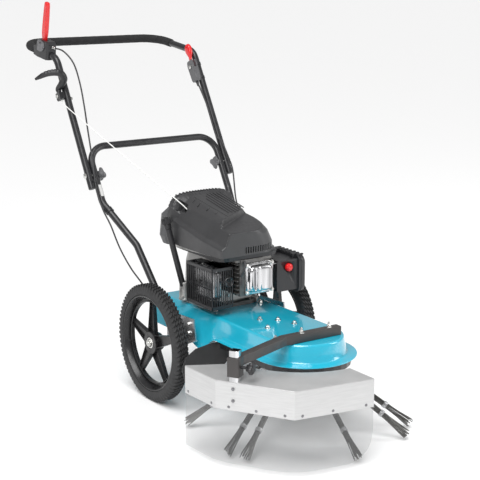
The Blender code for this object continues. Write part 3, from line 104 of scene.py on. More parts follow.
def ramp(tree, fac, low, high, start=0.3, end=0.7):
    """Colours from low to high as a 0 to 1 value goes from start to end."""
    node = tree.nodes.new("ShaderNodeValToRGB")
    node.color_ramp.elements[0].position, node.color_ramp.elements[1].position = start, end
    node.color_ramp.elements[0].color, node.color_ramp.elements[1].color = low, high
    tree.links.new(fac, node.inputs["Fac"])
    return node.outputs["Color"]


def grey(v):
    return (v, v, v, 1.0)


def finish(name, colour, rough, metallic=0.0, vary=0.15, grain=900, bump=0.15, depth=0.0002,
           stretch=(1, 1, 1), patch=14, spread=0.08, **sockets):
    """A material whose colour, roughness and bump all vary. spread is how far the roughness goes each way."""
    made = bpy.data.materials.new(name)
    made.use_nodes = True
    tree = made.node_tree
    shader = tree.nodes["Principled BSDF"]
    shader.inputs["Metallic"].default_value = metallic
    dark = (*(c * (1 - vary) for c in colour), 1.0)
    pale = (*(min(1.0, c * (1 + vary)) for c in colour), 1.0)
    wide = noise(tree, patch, 5.0, stretch)
    tree.links.new(ramp(tree, wide, dark, pale), shader.inputs["Base Color"])
    fine = noise(tree, grain, 3.0, stretch)
    rough_noise = noise(tree, patch * 4, 6.0, stretch)
    low, high = max(0.02, rough - spread), min(1.0, rough + spread)
    tree.links.new(ramp(tree, rough_noise, grey(low), grey(high)), shader.inputs["Roughness"])
    bumper = tree.nodes.new("ShaderNodeBump")
    bumper.inputs["Strength"].default_value = bump
    bumper.inputs["Distance"].default_value = depth
    tree.links.new(fine, bumper.inputs["Height"])
    tree.links.new(bumper.outputs["Normal"], shader.inputs["Normal"])
    for socket, value in sockets.items():
        shader.inputs[socket.replace("_", " ")].default_value = value
    return made


BLUE = finish("blue_gloss_paint", (0.014, 0.45, 0.62), 0.16, vary=0.05, grain=500, bump=0.05, depth=0.0001,
              patch=9, spread=0.05, Coat_Weight=1.0, Coat_Roughness=0.03, Specular_IOR_Level=0.7)
BLACK = finish("black_powder_paint", (0.016, 0.016, 0.018), 0.34, vary=0.2, grain=1400, bump=0.12,
               Coat_Weight=0.15, Coat_Roughness=0.25)
ARM = finish("charcoal_paint", (0.045, 0.041, 0.040), 0.42, vary=0.12, grain=1300, bump=0.15)
SHROUD = finish("grained_shroud_plastic", (0.034, 0.034, 0.036), 0.42, vary=0.12, grain=1500, bump=0.35,
                depth=0.00015, patch=20, Coat_Weight=0.25, Coat_Roughness=0.3)
TANK = finish("tank_plastic", (0.085, 0.086, 0.09), 0.45, vary=0.10, grain=1200, bump=0.2)
PLASTIC = finish("moulded_black_plastic", (0.018, 0.018, 0.020), 0.38, vary=0.2, grain=1300, bump=0.2)
RIM = finish("rim_black_plastic", (0.012, 0.012, 0.013), 0.30, vary=0.2, grain=900, bump=0.12)
RED = finish("red_gloss_plastic", (0.72, 0.012, 0.014), 0.26, vary=0.06, grain=700, bump=0.06,
             Coat_Weight=0.4, Coat_Roughness=0.1)
TYRE = finish("tyre_rubber", (0.024, 0.024, 0.025), 0.66, vary=0.25, grain=1100, bump=0.4, depth=0.0004,
              patch=30)
RUBBER = finish("cable_rubber", (0.035, 0.035, 0.037), 0.5, vary=0.2, grain=1100, bump=0.15)
FOAM = finish("closed_cell_foam", (0.014, 0.014, 0.015), 0.88, vary=0.3, grain=1700, bump=0.8, depth=0.0006,
              patch=60)
STEEL = finish("zinc_plated_steel", (0.55, 0.55, 0.56), 0.30, 1.0, vary=0.14, grain=600, bump=0.08, patch=60)
BOLT = finish("bright_bolt_zinc", (0.66, 0.66, 0.64), 0.26, 1.0, vary=0.12, grain=700, bump=0.1, patch=120)
# Painted reflections: the colour swings widely in bands along x, painting dark and light reflection bands on
# the valve cover and the guard post.
CHROME = finish("polished_cover_painted_reflection_bands", (0.60, 0.60, 0.61), 0.15, 1.0, vary=0.55, grain=260, bump=0.05,
                stretch=(1, 0.05, 0.05), patch=42, spread=0.03)
# Dark zinc steel, also used as painted shade: the guard's rivets and post bolts and the thin bars on the
# valve cover are made dark to paint shadow edges and dark reflection bands.
DARK_STEEL_AND_PAINTED_SHADE = finish("dark_zinc_steel_and_painted_shade", (0.24, 0.24, 0.25), 0.34, 1.0, vary=0.2, grain=600, bump=0.1, patch=60)
WING = finish("grey_wing_plastic", (0.11, 0.11, 0.115), 0.30, vary=0.12, grain=1200, bump=0.12)
LABEL = finish("blank_label", (0.62, 0.62, 0.61), 0.4, vary=0.04, grain=900, bump=0.05)
STAINLESS = finish("brushed_stainless", (0.60, 0.60, 0.60), 0.36, 0.55, vary=0.05, grain=260, bump=0.10,
                   depth=0.0001, stretch=(1, 1, 14), patch=20, spread=0.05)
CAST = finish("cast_aluminium", (0.50, 0.495, 0.485), 0.48, 0.85, vary=0.15, grain=700, bump=0.45,
              depth=0.0005, patch=40)
# Dark cast aluminium for the head's fins and the baffle, also used as painted shade on the engine block's
# front faces.
DARK_CAST_AND_PAINTED_SHADE = finish("dark_cast_aluminium_and_painted_shade", (0.16, 0.155, 0.15), 0.5, 0.8, vary=0.2, grain=700, bump=0.45,
                   depth=0.0005, patch=40)
WIRE = finish("galvanised_wire_rope", (0.17, 0.167, 0.16), 0.38, 1.0, vary=0.35, grain=1500, bump=0.5,
              depth=0.0004, patch=260)
ROPE = finish("white_braided_rope", (0.82, 0.82, 0.80), 0.8, vary=0.06, grain=1500, bump=0.6, depth=0.0004,
              patch=400)
FLAP = finish("flap_rubber", (0.030, 0.030, 0.031), 0.55, vary=0.15, grain=900, bump=0.2)


def clear_plastic():
    """The skirt's sheet, nearly clear, with a haze that comes and goes."""
    made = finish("clear_flexible_sheet", (0.28, 0.285, 0.29), 0.16, vary=0.05, grain=120, bump=0.05,
                  patch=10)
    tree = made.node_tree
    shader = tree.nodes["Principled BSDF"]
    haze = noise(tree, 6, 3.0)
    tree.links.new(ramp(tree, haze, grey(0.12), grey(0.18)), shader.inputs["Alpha"])
    return made


CLEAR = clear_plastic()


# Mesh building

class Shape:
    """Collects solids and becomes one object. Points are in the machine's own frame."""

    def __init__(self):
        self.bm = bmesh.new()

    def rings(self, rings, closed=False, caps=True):
        """Joins rings of equal length. A ring of one point is a pole."""
        made = [[self.bm.verts.new(p) for p in ring] for ring in rings]
        pairs = list(zip(made, made[1:]))
        if closed:
            pairs.append((made[-1], made[0]))
        for low, high in pairs:
            count = max(len(low), len(high))
            for i in range(count):
                j = (i + 1) % count
                corners = [low[i % len(low)], low[j % len(low)], high[j % len(high)], high[i % len(high)]]
                face = list(dict.fromkeys(corners))
                if len(face) > 2:
                    self.bm.faces.new(face)
        if caps and not closed:
            for ring in (made[0], made[-1]):
                if len(ring) > 2:
                    self.bm.faces.new(ring)

    def turn(self, profile, centre, axis=Z, sides=32, closed=False):
        """A solid of revolution from (distance along the axis, radius) pairs."""
        side, up = axes_along(axis)
        along = Vector(axis).normalized()
        self.rings([circle(Vector(centre) + along * d, side, up, r, sides) for d, r in profile], closed)

    def band(self, start, stop, radius, centre, axis, sides, bore=0):
        """A plain cylinder between two distances along an axis, or a ring if it has a bore."""
        profile = [(start, bore), (start, radius), (stop, radius), (stop, bore)]
        self.turn(profile, centre, axis, sides, closed=bore > 0)

    def tube(self, points, radius, sides=16, up=X, bore=None):
        """A round tube along a path. radius is one number, or one for each point."""
        radii = radius if isinstance(radius, (list, tuple)) else [radius] * len(points)
        frames = path_frames(points, up)
        outer = [circle(p, s, u, r, sides) for p, (s, u), r in zip(points, frames, radii)]
        if bore is None:
            return self.rings(outer)
        inner = [circle(p, s, u, bore, sides) for p, (s, u) in zip(points, frames)]
        self.rings(outer + inner[::-1], closed=True)

    def stack(self, levels, axis="z", steps=6):
        """Rounded rectangles (height, u0, u1, v0, v1, corner radius) joined up an axis."""
        place = {"z": lambda u, v, h: Vector((u, v, h)), "y": lambda u, v, h: Vector((u, h, v)),
                 "x": lambda u, v, h: Vector((h, u, v))}[axis]
        self.rings([[place(u, v, h) for u, v in rounded(*sides, steps)] for h, *sides in levels])

    def stepped(self, sides, levels, axis, steps=6):
        """A stack whose levels (height, inset, corner radius) are all drawn in from the same sides."""
        a, b, c, d = sides
        self.stack([(h, a + i, b - i, c + i, d - i, r) for h, i, r in levels], axis, steps)

    def box(self, low, high, bevel=0.0006):
        """A box with rounded edges."""
        low, high = Vector(low), Vector(high)
        middle, half = (low + high) / 2, (high - low) / 2
        b = min(bevel, *(h * 0.45 for h in half))
        rings = []
        for z, inset in ((-half.z, b), (-half.z + b, 0), (half.z - b, 0), (half.z, b)):
            a, c = half.x - inset, half.y - inset
            rings.append([middle + Vector((u, v, z)) for u, v in rounded(-a, a, -c, c, b, 1)])
        self.rings(rings)

    def bar(self, a, b, half_u, half_v, up=Z, bevel=0.0005):
        """A rectangular bar from a to b with rounded long edges."""
        a, b = Vector(a), Vector(b)
        along = (b - a).normalized()
        side = along.cross(Vector(up)).normalized()
        high = side.cross(along)
        outline = rounded(-half_u, half_u, -half_v, half_v, min(bevel, half_u * 0.45, half_v * 0.45), 1)
        self.rings([[p + side * u + high * v for u, v in outline] for p in (a, b)])

    def bolt(self, at, axis, across, high, washer=0.0, turn=0.0, stud=0.0):
        """A hexagon head with its washer, standing up from a face at the point."""
        axis = Vector(axis).normalized()
        side, up = axes_along(axis)
        at = Vector(at)
        if washer:
            disc = [(0, across * 0.3), (0, washer), (0.0012, washer), (0.0016, washer * 0.97), (0.0016, 0)]
            self.turn(disc, at, axis, 24)
            at = at + axis * 0.0015
        r = across / sqrt(3)
        levels = ((0, 1.0), (high * 0.82, 1.0), (high, 0.86))
        self.rings([circle(at + axis * d, side, up, r * s, 6, turn) for d, s in levels])
        if stud:
            thread = [(high * 0.9, across * 0.3), (high + stud * 0.85, across * 0.3),
                      (high + stud, across * 0.24)]
            self.turn(thread, at, axis, 12)

    def rivet(self, at, axis, radius, dome=0.55):
        """A domed rivet head. dome is its height as a share of the radius."""
        steps = 5
        profile = [(0, radius)]
        profile += [(radius * dome * sin(pi / 2 * i / steps), radius * cos(pi / 2 * i / steps))
                    for i in range(1, steps)]
        self.turn(profile + [(radius * dome, 0)], at, axis, 14)

    def make(self, name, material, body, slot, replaces=(), angle=32):
        """Ends the shape as an object that rides on a body. Edges sharper than angle stay hard."""
        bmesh.ops.recalc_face_normals(self.bm, faces=self.bm.faces)
        mesh = bpy.data.meshes.new(name)
        self.bm.to_mesh(mesh)
        self.bm.free()
        mesh.transform(Matrix.Translation(SHIFT))
        mesh.materials.append(material)
        mesh.shade_smooth()
        mesh.set_sharp_from_angle(angle=radians(angle))
        obj = bpy.data.objects.new(name, mesh)
        bpy.context.scene.collection.objects.link(obj)
        if replaces:
            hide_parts(*replaces)
        if body:
            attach(obj, body)
        return obj


def round_edges(obj, width):
    """Bevels the sharp edges of a piece."""
    edge = obj.modifiers.new("rounded_edges", "BEVEL")
    edge.width = width
    edge.segments = 3
    edge.limit_method = "ANGLE"
    edge.angle_limit = radians(30)
    edge.use_clamp_overlap = True
    edge.harden_normals = True
    edge.miter_outer = "MITER_ARC"


def axes_along(direction):
    """Two unit vectors square to a direction and to each other."""
    along = Vector(direction).normalized()
    helper = Z if abs(along.z) < 0.9 else X
    side = along.cross(helper).normalized()
    return side, along.cross(side).normalized()


def circle(centre, side, up, radius, count, turn=0.0):
    """Points round a circle, or only its centre if it has no radius."""
    if radius == 0:
        return [Vector(centre)]
    turns = [2 * pi * i / count + turn for i in range(count)]
    return [centre + side * (radius * cos(t)) + up * (radius * sin(t)) for t in turns]


def rounded(x0, x1, y0, y1, radius, steps=6):
    """Corner arcs of a rectangle in plan, anticlockwise from the corner at x1, y1."""
    centres = ((x1 - radius, y1 - radius, 0), (x0 + radius, y1 - radius, 90),
               (x0 + radius, y0 + radius, 180), (x1 - radius, y0 + radius, 270))
    points = []
    for cx, cy, start in centres:
        for i in range(steps + 1):
            t = radians(start + 90 * i / steps)
            points.append((cx + radius * cos(t), cy + radius * sin(t)))
    return points


def squircle(t, half_u, half_v, power):
    """The point at angle t of an oval that gets squarer as the power rises."""
    c, s = cos(t), sin(t)
    r = (abs(c / half_u) ** power + abs(s / half_v) ** power) ** (-1 / power)
    return r * c, r * s


def lerp(a, b, t):
    return a + (b - a) * t


def smoothstep(t):
    t = min(max(t, 0.0), 1.0)
    return t * t * (3 - 2 * t)


def rounded_path(corners, radii, steps=10):
    """Points along straight runs joined by arcs of the given bend radii."""
    points = [Vector(corners[0])]
    for before, here, after, radius in zip(corners, corners[1:], corners[2:], radii):
        before, here, after = Vector(before), Vector(here), Vector(after)
        a, b = (before - here).normalized(), (after - here).normalized()
        half = a.angle(b) / 2
        reach = radius / tan(half)
        centre = here + (a + b).normalized() * (radius / sin(half))
        first, last = here + a * reach - centre, here + b * reach - centre
        turn = first.angle(last)
        for i in range(steps + 1):
            t = i / steps
            points.append(centre + (first * sin((1 - t) * turn) + last * sin(t * turn)) / sin(turn))
    points.append(Vector(corners[-1]))
    return points


def path_frames(points, up_hint):
    """A side and an up vector at each point, square to the path and free of twist."""
    frames = []
    up = Vector(up_hint)
    for i in range(len(points)):
        along = (points[min(i + 1, len(points) - 1)] - points[max(i - 1, 0)]).normalized()
        up = (up - along * up.dot(along)).normalized()
        frames.append((along.cross(up).normalized(), up.copy()))
    return frames


def smooth_route(points, per_span):
    """Points on a Catmull-Rom curve through a cable's route."""
    ends = [2 * Vector(points[0]) - Vector(points[1])]
    ends += [Vector(p) for p in points] + [2 * Vector(points[-1]) - Vector(points[-2])]
    found = []
    for a, b, c, d in zip(ends, ends[1:], ends[2:], ends[3:]):
        for i in range(per_span):
            t = i / per_span
            found.append(0.5 * (2 * b + (c - a) * t + (2 * a - 5 * b + 4 * c - d) * t**2
                                + (3 * b - a - 3 * c + d) * t**3))
    return found + [Vector(points[-1])]


# Wheels

def tyre(side, name):
    """A tyre with staggered slanted lugs. Each lug has a rising flank, a top and a falling flank."""
    fractions = (0.0, 0.10, 0.58, 0.68)
    middle = (WHEEL_IN + WHEEL_OUT) / 2
    # (offset from the tyre's middle, radius, lug height, slant in lug pitches) over the inner half
    inner = [(-0.0205, 0.1468, 0, 0), (-0.0204, 0.1515, 0, 0), (-0.0202, 0.1560, 0, 0),
             (-0.0203, 0.1585, 0, 0), (-0.0201, 0.1600, 0.0016, 0), (-0.0195, 0.1634, 0.0036, 0),
             (-0.0180, 0.1690, 0.0054, 0.05), (-0.0150, 0.1718, 0.0058, 0.2), (-0.0105, 0.1740, 0.0040, 0.55),
             (-0.0103, 0.1740, 0.0, 0.55), (-0.0090, 0.1740, 0.0, 1.15), (-0.0088, 0.1740, 0.0040, 1.15),
             (-0.0008, 0.1740, 0.0040, 1.75), (-0.0006, 0.1740, 0.0, 1.75)]
    outer = [(-offset, radius, lug, round(4.1 - slant, 2)) for offset, radius, lug, slant in reversed(inner)]
    rings = []
    for offset, radius, lug, slant in inner + outer:
        ring = []
        for k in range(LUGS):
            for f in fractions:
                t = 2 * pi * (k + f + slant) / LUGS
                r = radius + (lug if f in fractions[1:3] else 0.0)
                ring.append(Vector((side * (middle + offset), r * cos(t), WHEEL_R + r * sin(t))))
        rings.append(ring)
    shape = Shape()
    shape.rings(rings, closed=True)
    shape.make(name + "_tyre_tread", TYRE, name + "_wheel", "tyre_rubber", [name + "_tyre"], angle=28)


def rim(side, name):
    """The moulded rim: barrel with rolled lips, five ribbed spokes and the hub."""
    centre, axis = Vector((0, 0, WHEEL_R)), Vector((side, 0, 0))
    a, b = WHEEL_IN, WHEEL_OUT
    barrel = [(a + .002, .1430), (a + .002, .1458), (a + .004, .1463), (b - .004, .1463), (b - .0015, .1458),
              (b - .0006, .1445), (b - .0006, .1425), (b - .0016, .1405), (b - .004, .1392),
              (b - .012, .1345), (b - .020, .1325), (a + .016, .1325), (a + .006, .1365), (a + .003, .1400)]
    web = [(a + .0135, .1235), (a + .0135, .1335), (a + .0185, .1335), (a + .0185, .1245), (a + .0175, .1235)]
    lip = [(a + .012, .1225), (a + .012, .1255), (b - .0165, .1255), (b - .0165, .1240), (b - .018, .1225)]
    hub = [(a - .006, .0084), (a - .006, .0245), (a - .005, .0258), (a + .012, .0335), (a + .016, .0345),
           (b - .0155, .0345), (b - .0115, .0340), (b - .0103, .0328), (b - .0103, .0190), (b - .0125, .0180),
           (b - .0125, .0135), (b - .0100, .0125), (b - .0100, .0084)]
    shape = Shape()
    for profile, sides in ((barrel, 96), (web, 96), (lip, 96), (hub, 48)):
        shape.turn(profile, centre, axis, sides, closed=True)
    for k in range(SPOKES):
        t = 2 * pi * k / SPOKES + pi / 2
        out = Vector((0, cos(t), sin(t)))
        cross = Vector((0, -sin(t), cos(t)))

        def at(x, r, w):
            return centre + axis * x + out * r + cross * w

        floor = [[at(a + x, r, w * s) for x, s in ((.0135, 1), (.0175, 1), (.0175, -1), (.0135, -1))]
                 for r, w in ((.028, .0185), (.060, .0155), (.100, .0115), (.1285, .0095))]
        shape.rings(floor)
        for s in (-1, 1):
            rib = []
            for r, w, front in ((.026, .0180, .0265), (.033, .0178, .0262), (.060, .0152, .0248),
                                (.100, .0112, .0236), (.1245, .0090, .0232), (.1285, .0088, .0225)):
                low, high = at(a + .0125, r, (w - .0016) * s), at(a + front, r, (w - .0010) * s)
                outer_high, outer_low = at(a + front, r, (w + .0009) * s), at(a + .0125, r, (w + .0014) * s)
                crest = at(a + front + .0006, r, w * s)
                rib.append([low, high, crest, outer_high, outer_low])
            shape.rings(rib)
    for k in range(SPOKES):
        t = 2 * pi * (k + 0.5) / SPOKES + pi / 2
        spot = centre + Vector((0, cos(t), sin(t))) * 0.0262 + axis * (b - .0104)
        shape.rivet(spot, axis, 0.0022)
    shape.make(name + "_rim_moulding", RIM, name + "_wheel", "black_plastic", [name + "_rim"], angle=30)
    nut = Shape()
    washer = [(b - .0121, .0090), (b - .0121, .0165), (b - .0108, .0168), (b - .0101, .0160),
              (b - .0101, .0085)]
    nut.turn(washer, centre, axis, 32, closed=True)
    nut.bolt(centre + axis * (b - .0100), axis, 0.0195, 0.0068, turn=0.3)
    nut.turn([(b - .0045, .0052), (b - .0012, .0052), (b - .0004, .0045), (b - .0004, 0)], centre, axis, 16)
    nut.make(name + "_hub_nut", BOLT, "chassis", "chrome")


# Deck

def deck_outline():
    """Plan points from one rear corner round the nose to the other, each with its outward direction."""
    straight = []
    y = SIDE_REAR_Y
    while y > SIDE_FRONT_Y:
        straight.append(y)
        y -= 0.0105
    straight.append(SIDE_FRONT_Y)
    points = [((-DECK_HALF, v), (-1.0, 0.0)) for v in straight]
    for i in range(57):
        t = pi + pi * i / 56
        points.append(((DECK_HALF * cos(t), NOSE_Y + DECK_HALF * sin(t)), (cos(t), sin(t))))
    return points + [((DECK_HALF, v), (1.0, 0.0)) for v in reversed(straight)]


def deck():
    """The pressing, with a rolled top edge, a fillet into the flange and a turned lip."""
    t = DECK_T
    # (offset at the flange, offset at the side skirt, height, rear). A height is above the lower edge, or
    # below the top if it is not more than 0, or halfway between the two if it is None.
    section = [(-.0075, -.0075, 0.0, -.0075),
               (-.0052, -.0052, -.0004, -.0052), (-.0032, -.0032, -.0014, -.0032),
               (-.0018, -.0018, -.0030, -.0018), (-.0010, -.0008, -.0052, -.0010), (-.0004, .0006, -.0085, 0),
               (.0036, .016, None, .002), (.0062, .0305, .0075, .004), (.0078, .0330, .0052, .004),
               (.0108, .0342, .0036, .004), (.0150, .0350, .0031, .004), (.0345, .0356, .0030, .004),
               (.0355, .0359, .0026, .004), (.0360, .0360, .0016, .004), (.0358, .0360, .0004, .004),
               (.0350, .0357, .0001, .0038), (.0100, .0318, .0003, .004 - t), (.0050, .0300, .0025, .004 - t),
               (.0006, .0135, None, -.001 - t), (-.0038, -.0030, -.0090, -.001 - t),
               (-.0048, -.0046, -.0060 - t, -.001 - t), (-.0105, -.0105, -t, -.0075 - t)]
    rings = []
    for flange, skirt, height, rear in section:
        ring = []
        for (x, y), (nx, ny) in deck_outline():
            d = smoothstep((y - FADE_Y) / (TAIL_Y - FADE_Y))
            lift = smoothstep((y - TAIL_Y) / 0.08)
            out = lerp(flange, skirt, d)
            low = lerp(lerp(FLANGE_Z, TAIL_Z, d), REAR_Z, lift)
            if height is None:
                z = (low + DECK_TOP) / 2
            else:
                z = DECK_TOP + height if height <= 0 else low + height
            back = rear if y == SIDE_REAR_Y else 0.0
            ring.append(Vector((x + nx * out, y + ny * out + back, z)))
        rings.append(ring)
    shape = Shape()
    shape.rings(rings)
    shape.make("deck_pressing", BLUE, "chassis", "blue_paint", ["deck"], angle=40)
    bolts = Shape()
    for x, y in ((-.081, -.113), (-.026, -.263), (-.056, -.344), (.014, -.297), (.033, -.351), (-.097, -.439),
                 (.081, -.113), (.081, .060), (-.081, .060)):
        bolts.bolt((x, y, DECK_TOP), Z, 0.0105, 0.0055, washer=0.0085, turn=x * 60, stud=0.003)
    for x in (-.054, .041):
        bolts.bolt((x, -.4985, DECK_TOP + 0.0256), Z, 0.0105, 0.0065, washer=0.0085, turn=x * 40, stud=0.007)
    for side in (-1, 1):
        for y, z in ((-.100, .222), (-.102, .250), (.012, .222), (-.018, .246)):
            bolts.bolt((side * 0.1653, y, z), (side, 0, 0), 0.0100, 0.0052, washer=0.0078, turn=y * 30)
    bolts.make("deck_bolts", BOLT, "chassis", "chrome")
    grommets = Shape()
    for side in (-1, 1):
        grommets.turn([(0, .0030), (.0012, .0030), (.0015, .0024), (.0015, 0)], (side * .1146, -.300, .2455),
                      (side, 0, 0), 20)
    grommets.make("deck_side_grommets", PLASTIC, "chassis", "black_plastic")


# Guard

def unit(a, b):
    return Vector((b[0] - a[0], b[1] - a[1])).normalized()


def wall_frame():
    """The start of the long wall, its direction and the direction inwards from it."""
    b, c = GUARD_CORNERS[1], GUARD_CORNERS[2]
    run = unit(b, c)
    return Vector((*b, 0)), Vector((*run, 0)), Vector((-run.y, run.x, 0))


def post_centre():
    start, run, inwards = wall_frame()
    return start + run * POST_ALONG + inwards * 0.0150


def offset_path(corners, inwards):
    """A plan path moved inwards, with mitred corners."""
    moved = []
    for i, corner in enumerate(corners):
        ahead = unit(corners[i], corners[i + 1]) if i < len(corners) - 1 else None
        behind = unit(corners[i - 1], corners[i]) if i else None
        first, second = behind or ahead, ahead or behind
        n1, n2 = Vector((-first.y, first.x)), Vector((-second.y, second.x))
        share = inwards / (1 + n1.dot(n2))
        moved.append(Vector(corner) + (n1 + n2) * share)
    return moved


def guard():
    """Bent stainless sheet: a top plate whose outer edges roll down into three walls."""
    arc = []
    for i in range(25):
        t = radians(lerp(3, 80, i / 24))
        arc.append(Vector((-GUARD_ARC_R * sin(t), ROTOR_Y - GUARD_ARC_R * cos(t))))
    roll, face, low = 0.0024, 0.0010, GUARD_LOW
    profile = [(SHEET, low), (face + 0.0003, low), (face, low + 0.0004), (face, GUARD_TOP - roll)]
    profile += [(face + roll - roll * cos(radians(a)), GUARD_TOP - roll + roll * sin(radians(a)))
                for a in (22, 45, 68, 90)]
    shape = Shape()
    bm = shape.bm

    def strip(levels):
        made = [[bm.verts.new((p.x, p.y, z)) for p in offset_path(GUARD_CORNERS, inset)]
                for inset, z in levels]
        for a, b in zip(made, made[1:]):
            for i in range(len(a) - 1):
                bm.faces.new((a[i], a[i + 1], b[i + 1], b[i]))
        return made

    made = strip(profile)
    under = strip([(SHEET, GUARD_TOP - SHEET), (SHEET, low)])
    top_arc = [bm.verts.new((p.x, p.y, GUARD_TOP)) for p in arc]
    low_arc = [bm.verts.new((p.x, p.y, GUARD_TOP - SHEET)) for p in arc]
    bm.faces.new(made[-1] + top_arc)
    bm.faces.new(under[0] + low_arc)
    for i in range(len(arc) - 1):
        bm.faces.new((top_arc[i], top_arc[i + 1], low_arc[i + 1], low_arc[i]))
    for end, first, second in ((0, top_arc[-1], low_arc[-1]), (3, top_arc[0], low_arc[0])):
        outer = [line[end] for line in made]
        bm.faces.new([first] + outer[::-1] + [under[1][end], under[0][end], second])
    bmesh.ops.remove_doubles(bm, verts=bm.verts, dist=1e-6)
    shape.make("guard_sheet", STAINLESS, "guard", "stainless", ["guard_shell"], angle=24)

    corners = [Vector((*c, 0)) for c in GUARD_CORNERS]
    # Painted shade: the rivet and bolt heads are light, and their dark colour paints the shadow round their
    # edges.
    studs = Shape()
    for i, shares in enumerate(((0.10, 0.86), (0.17, 0.52, 0.88), (0.10, 0.48, 0.90))):
        a, b = corners[i], corners[i + 1]
        run = (b - a).normalized()
        out = Vector((run.y, -run.x, 0))
        for share in shares:
            studs.rivet(a.lerp(b, share) - out * 0.0012 + Z * (low + 0.0085), out, 0.0042, 0.27)
    start, run, inwards = wall_frame()
    for z in (GUARD_TOP - 0.018, GUARD_TOP - 0.050):
        studs.bolt(start + run * POST_ALONG + inwards * 0.001 + Z * z, -inwards, 0.0080, 0.0035, turn=0.2)
    studs.make("guard_rivets", DARK_STEEL_AND_PAINTED_SHADE, "guard", "chrome")
    seams = Shape()
    for corner, inwards in zip(corners[1:3], (Vector((0.97, 0.24, 0)), Vector((0.79, 0.61, 0)))):
        at = corner + inwards * 0.0012
        seams.bar(at + Z * (low + 0.0005), at + Z * (GUARD_TOP - 0.0015), 0.0010, 0.0010, bevel=0.0002)
    seams.make("guard_seams", DARK_STEEL_AND_PAINTED_SHADE, "guard", "stainless")


def skirt_low(share):
    """The height of the skirt's lower edge, which curls up near its end."""
    if share < SKIRT_CURL:
        return SKIRT_Z
    t = (share - SKIRT_CURL) / (1 - SKIRT_CURL)
    return SKIRT_Z + (SKIRT_END_Z - SKIRT_Z) * (1 - sqrt(max(0.0, 1 - t * t)))


def evenly(points, count):
    """The same path with points at equal distances."""
    ends = [0.0]
    for a, b in zip(points, points[1:]):
        ends.append(ends[-1] + (b - a).length)
    made, k = [], 0
    for i in range(count):
        d = ends[-1] * i / (count - 1)
        while k < len(points) - 2 and ends[k + 1] < d:
            k += 1
        made.append(points[k].lerp(points[k + 1], (d - ends[k]) / max(1e-9, ends[k + 1] - ends[k])))
    return made


def skirt():
    """The clear skirt inside the walls. It follows their bends at the top and hangs in wider ones below."""
    count, rows = 120, 6
    path = [(p.x, p.y, 0) for p in offset_path(GUARD_CORNERS, SHEET + GAP)]
    bent = evenly(rounded_path(path, (0.018, 0.018), 10), count)
    loose = evenly(rounded_path(path, (0.20, 0.15), 16), count)
    top = GUARD_LOW + 0.014
    rings = []
    for i in range(count):
        low = skirt_low(i / (count - 1))
        levels = [bent[i] + Z * top]
        for k in range(1, rows + 1):
            share = k / rows
            levels.append(bent[i].lerp(loose[i], smoothstep(share)) + Z * lerp(top, low + .0004, share))
        ahead = (bent[min(i + 1, count - 1)] - bent[max(i - 1, 0)]).normalized()
        n = Vector((-ahead.y, ahead.x, 0)) * SKIRT_T
        foot = [loose[i] + n * share + Z * low for share in (0.2, 0.8)]
        rings.append(levels + foot + [p + n for p in levels[::-1]])
    shape = Shape()
    shape.rings(rings)
    shape.make("clear_skirt_sheet", CLEAR, "guard", "clear_sheet", ["clear_skirt"], angle=50)


def square_ring(centre, run, inwards, size, height, radius):
    """A rounded square in plan, in line with the long wall."""
    return [centre + run * u + inwards * v + Z * height
            for u, v in rounded(-size, size, -size, size, radius, 3)]


def guard_mount():
    """The arm across the nose with its sleeve, the sliding post and the clamping knob."""
    at = post_centre()
    _, run, inwards = wall_frame()
    y, z = -0.498, DECK_TOP + POST_HALF + GAP
    corners = [Vector((0.076, y, z)), Vector((-0.112, -0.495, z)), Vector((at.x, at.y, z))]
    path = rounded_path(corners, (0.020,), 8)
    square = rounded(-POST_HALF, POST_HALF, -POST_HALF, POST_HALF, 0.0022, 3)
    rings = [[p + side * u + Z * v for u, v in square] for p, (side, _) in zip(path, path_frames(path, Z))]
    end = path[-1] - (path[-1] - path[-2]).normalized() * (SLEEVE_HALF - 0.001)
    shift = end - path[-1]
    rings[-1] = [p + shift for p in rings[-1]]
    arm = Shape()
    arm.rings(rings)
    bore = POST_HALF - POST_WALL
    mouth = bore + .0028
    sleeve = ((mouth, SLEEVE_LOW, .001), (SLEEVE_HALF, SLEEVE_LOW, .002),
              (SLEEVE_HALF, SLEEVE_HIGH - .0006, .002), (SLEEVE_HALF - .0006, SLEEVE_HIGH, .0018),
              (mouth, SLEEVE_HIGH, .001))
    arm.rings([square_ring(at, run, inwards, *level) for level in sleeve], closed=True)
    arm.make("guard_arm_tube", ARM, "chassis", "black_paint", ["guard_arm"], angle=35)
    cap = Shape()
    cap.stepped((y, y, z, z), ((0.0750, -.0121, .002), (0.0758, -.0112, .002)), "x", 3)
    cap.make("arm_end_cap", PLASTIC, "chassis", "black_plastic")

    post, low = Shape(), GUARD_LOW + 0.0165
    levels = ((bore, low, .001), (POST_HALF, low, .0018), (POST_HALF, POST_TOP - .0004, .0018),
              (POST_HALF - .0004, POST_TOP, .0016), (bore, POST_TOP, .001))
    post.rings([square_ring(at, run, inwards, *level) for level in levels], closed=True)
    post.make("guard_post_tube", CHROME, "guard", "chrome", ["guard_post"], angle=35)

    knob = Shape()
    centre, foot = at + Z * 0.279, SLEEVE_HALF + GAP
    knob.band(foot, .0331, .004, centre, run, 16)
    levels = ((.0331, .0090, 0), (.0375, .0105, 0), (.0392, .0135, .15), (.0410, .0160, .25),
              (.0430, .0166, .27), (.0485, .0166, .27), (.0508, .0152, .25), (.0526, .0120, .2),
              (.0530, .0050, 0))
    lobes(knob, centre, run, levels, 5)
    knob.make("guard_hand_knob", PLASTIC, "guard_knob", "black_plastic", ["guard_knob"])


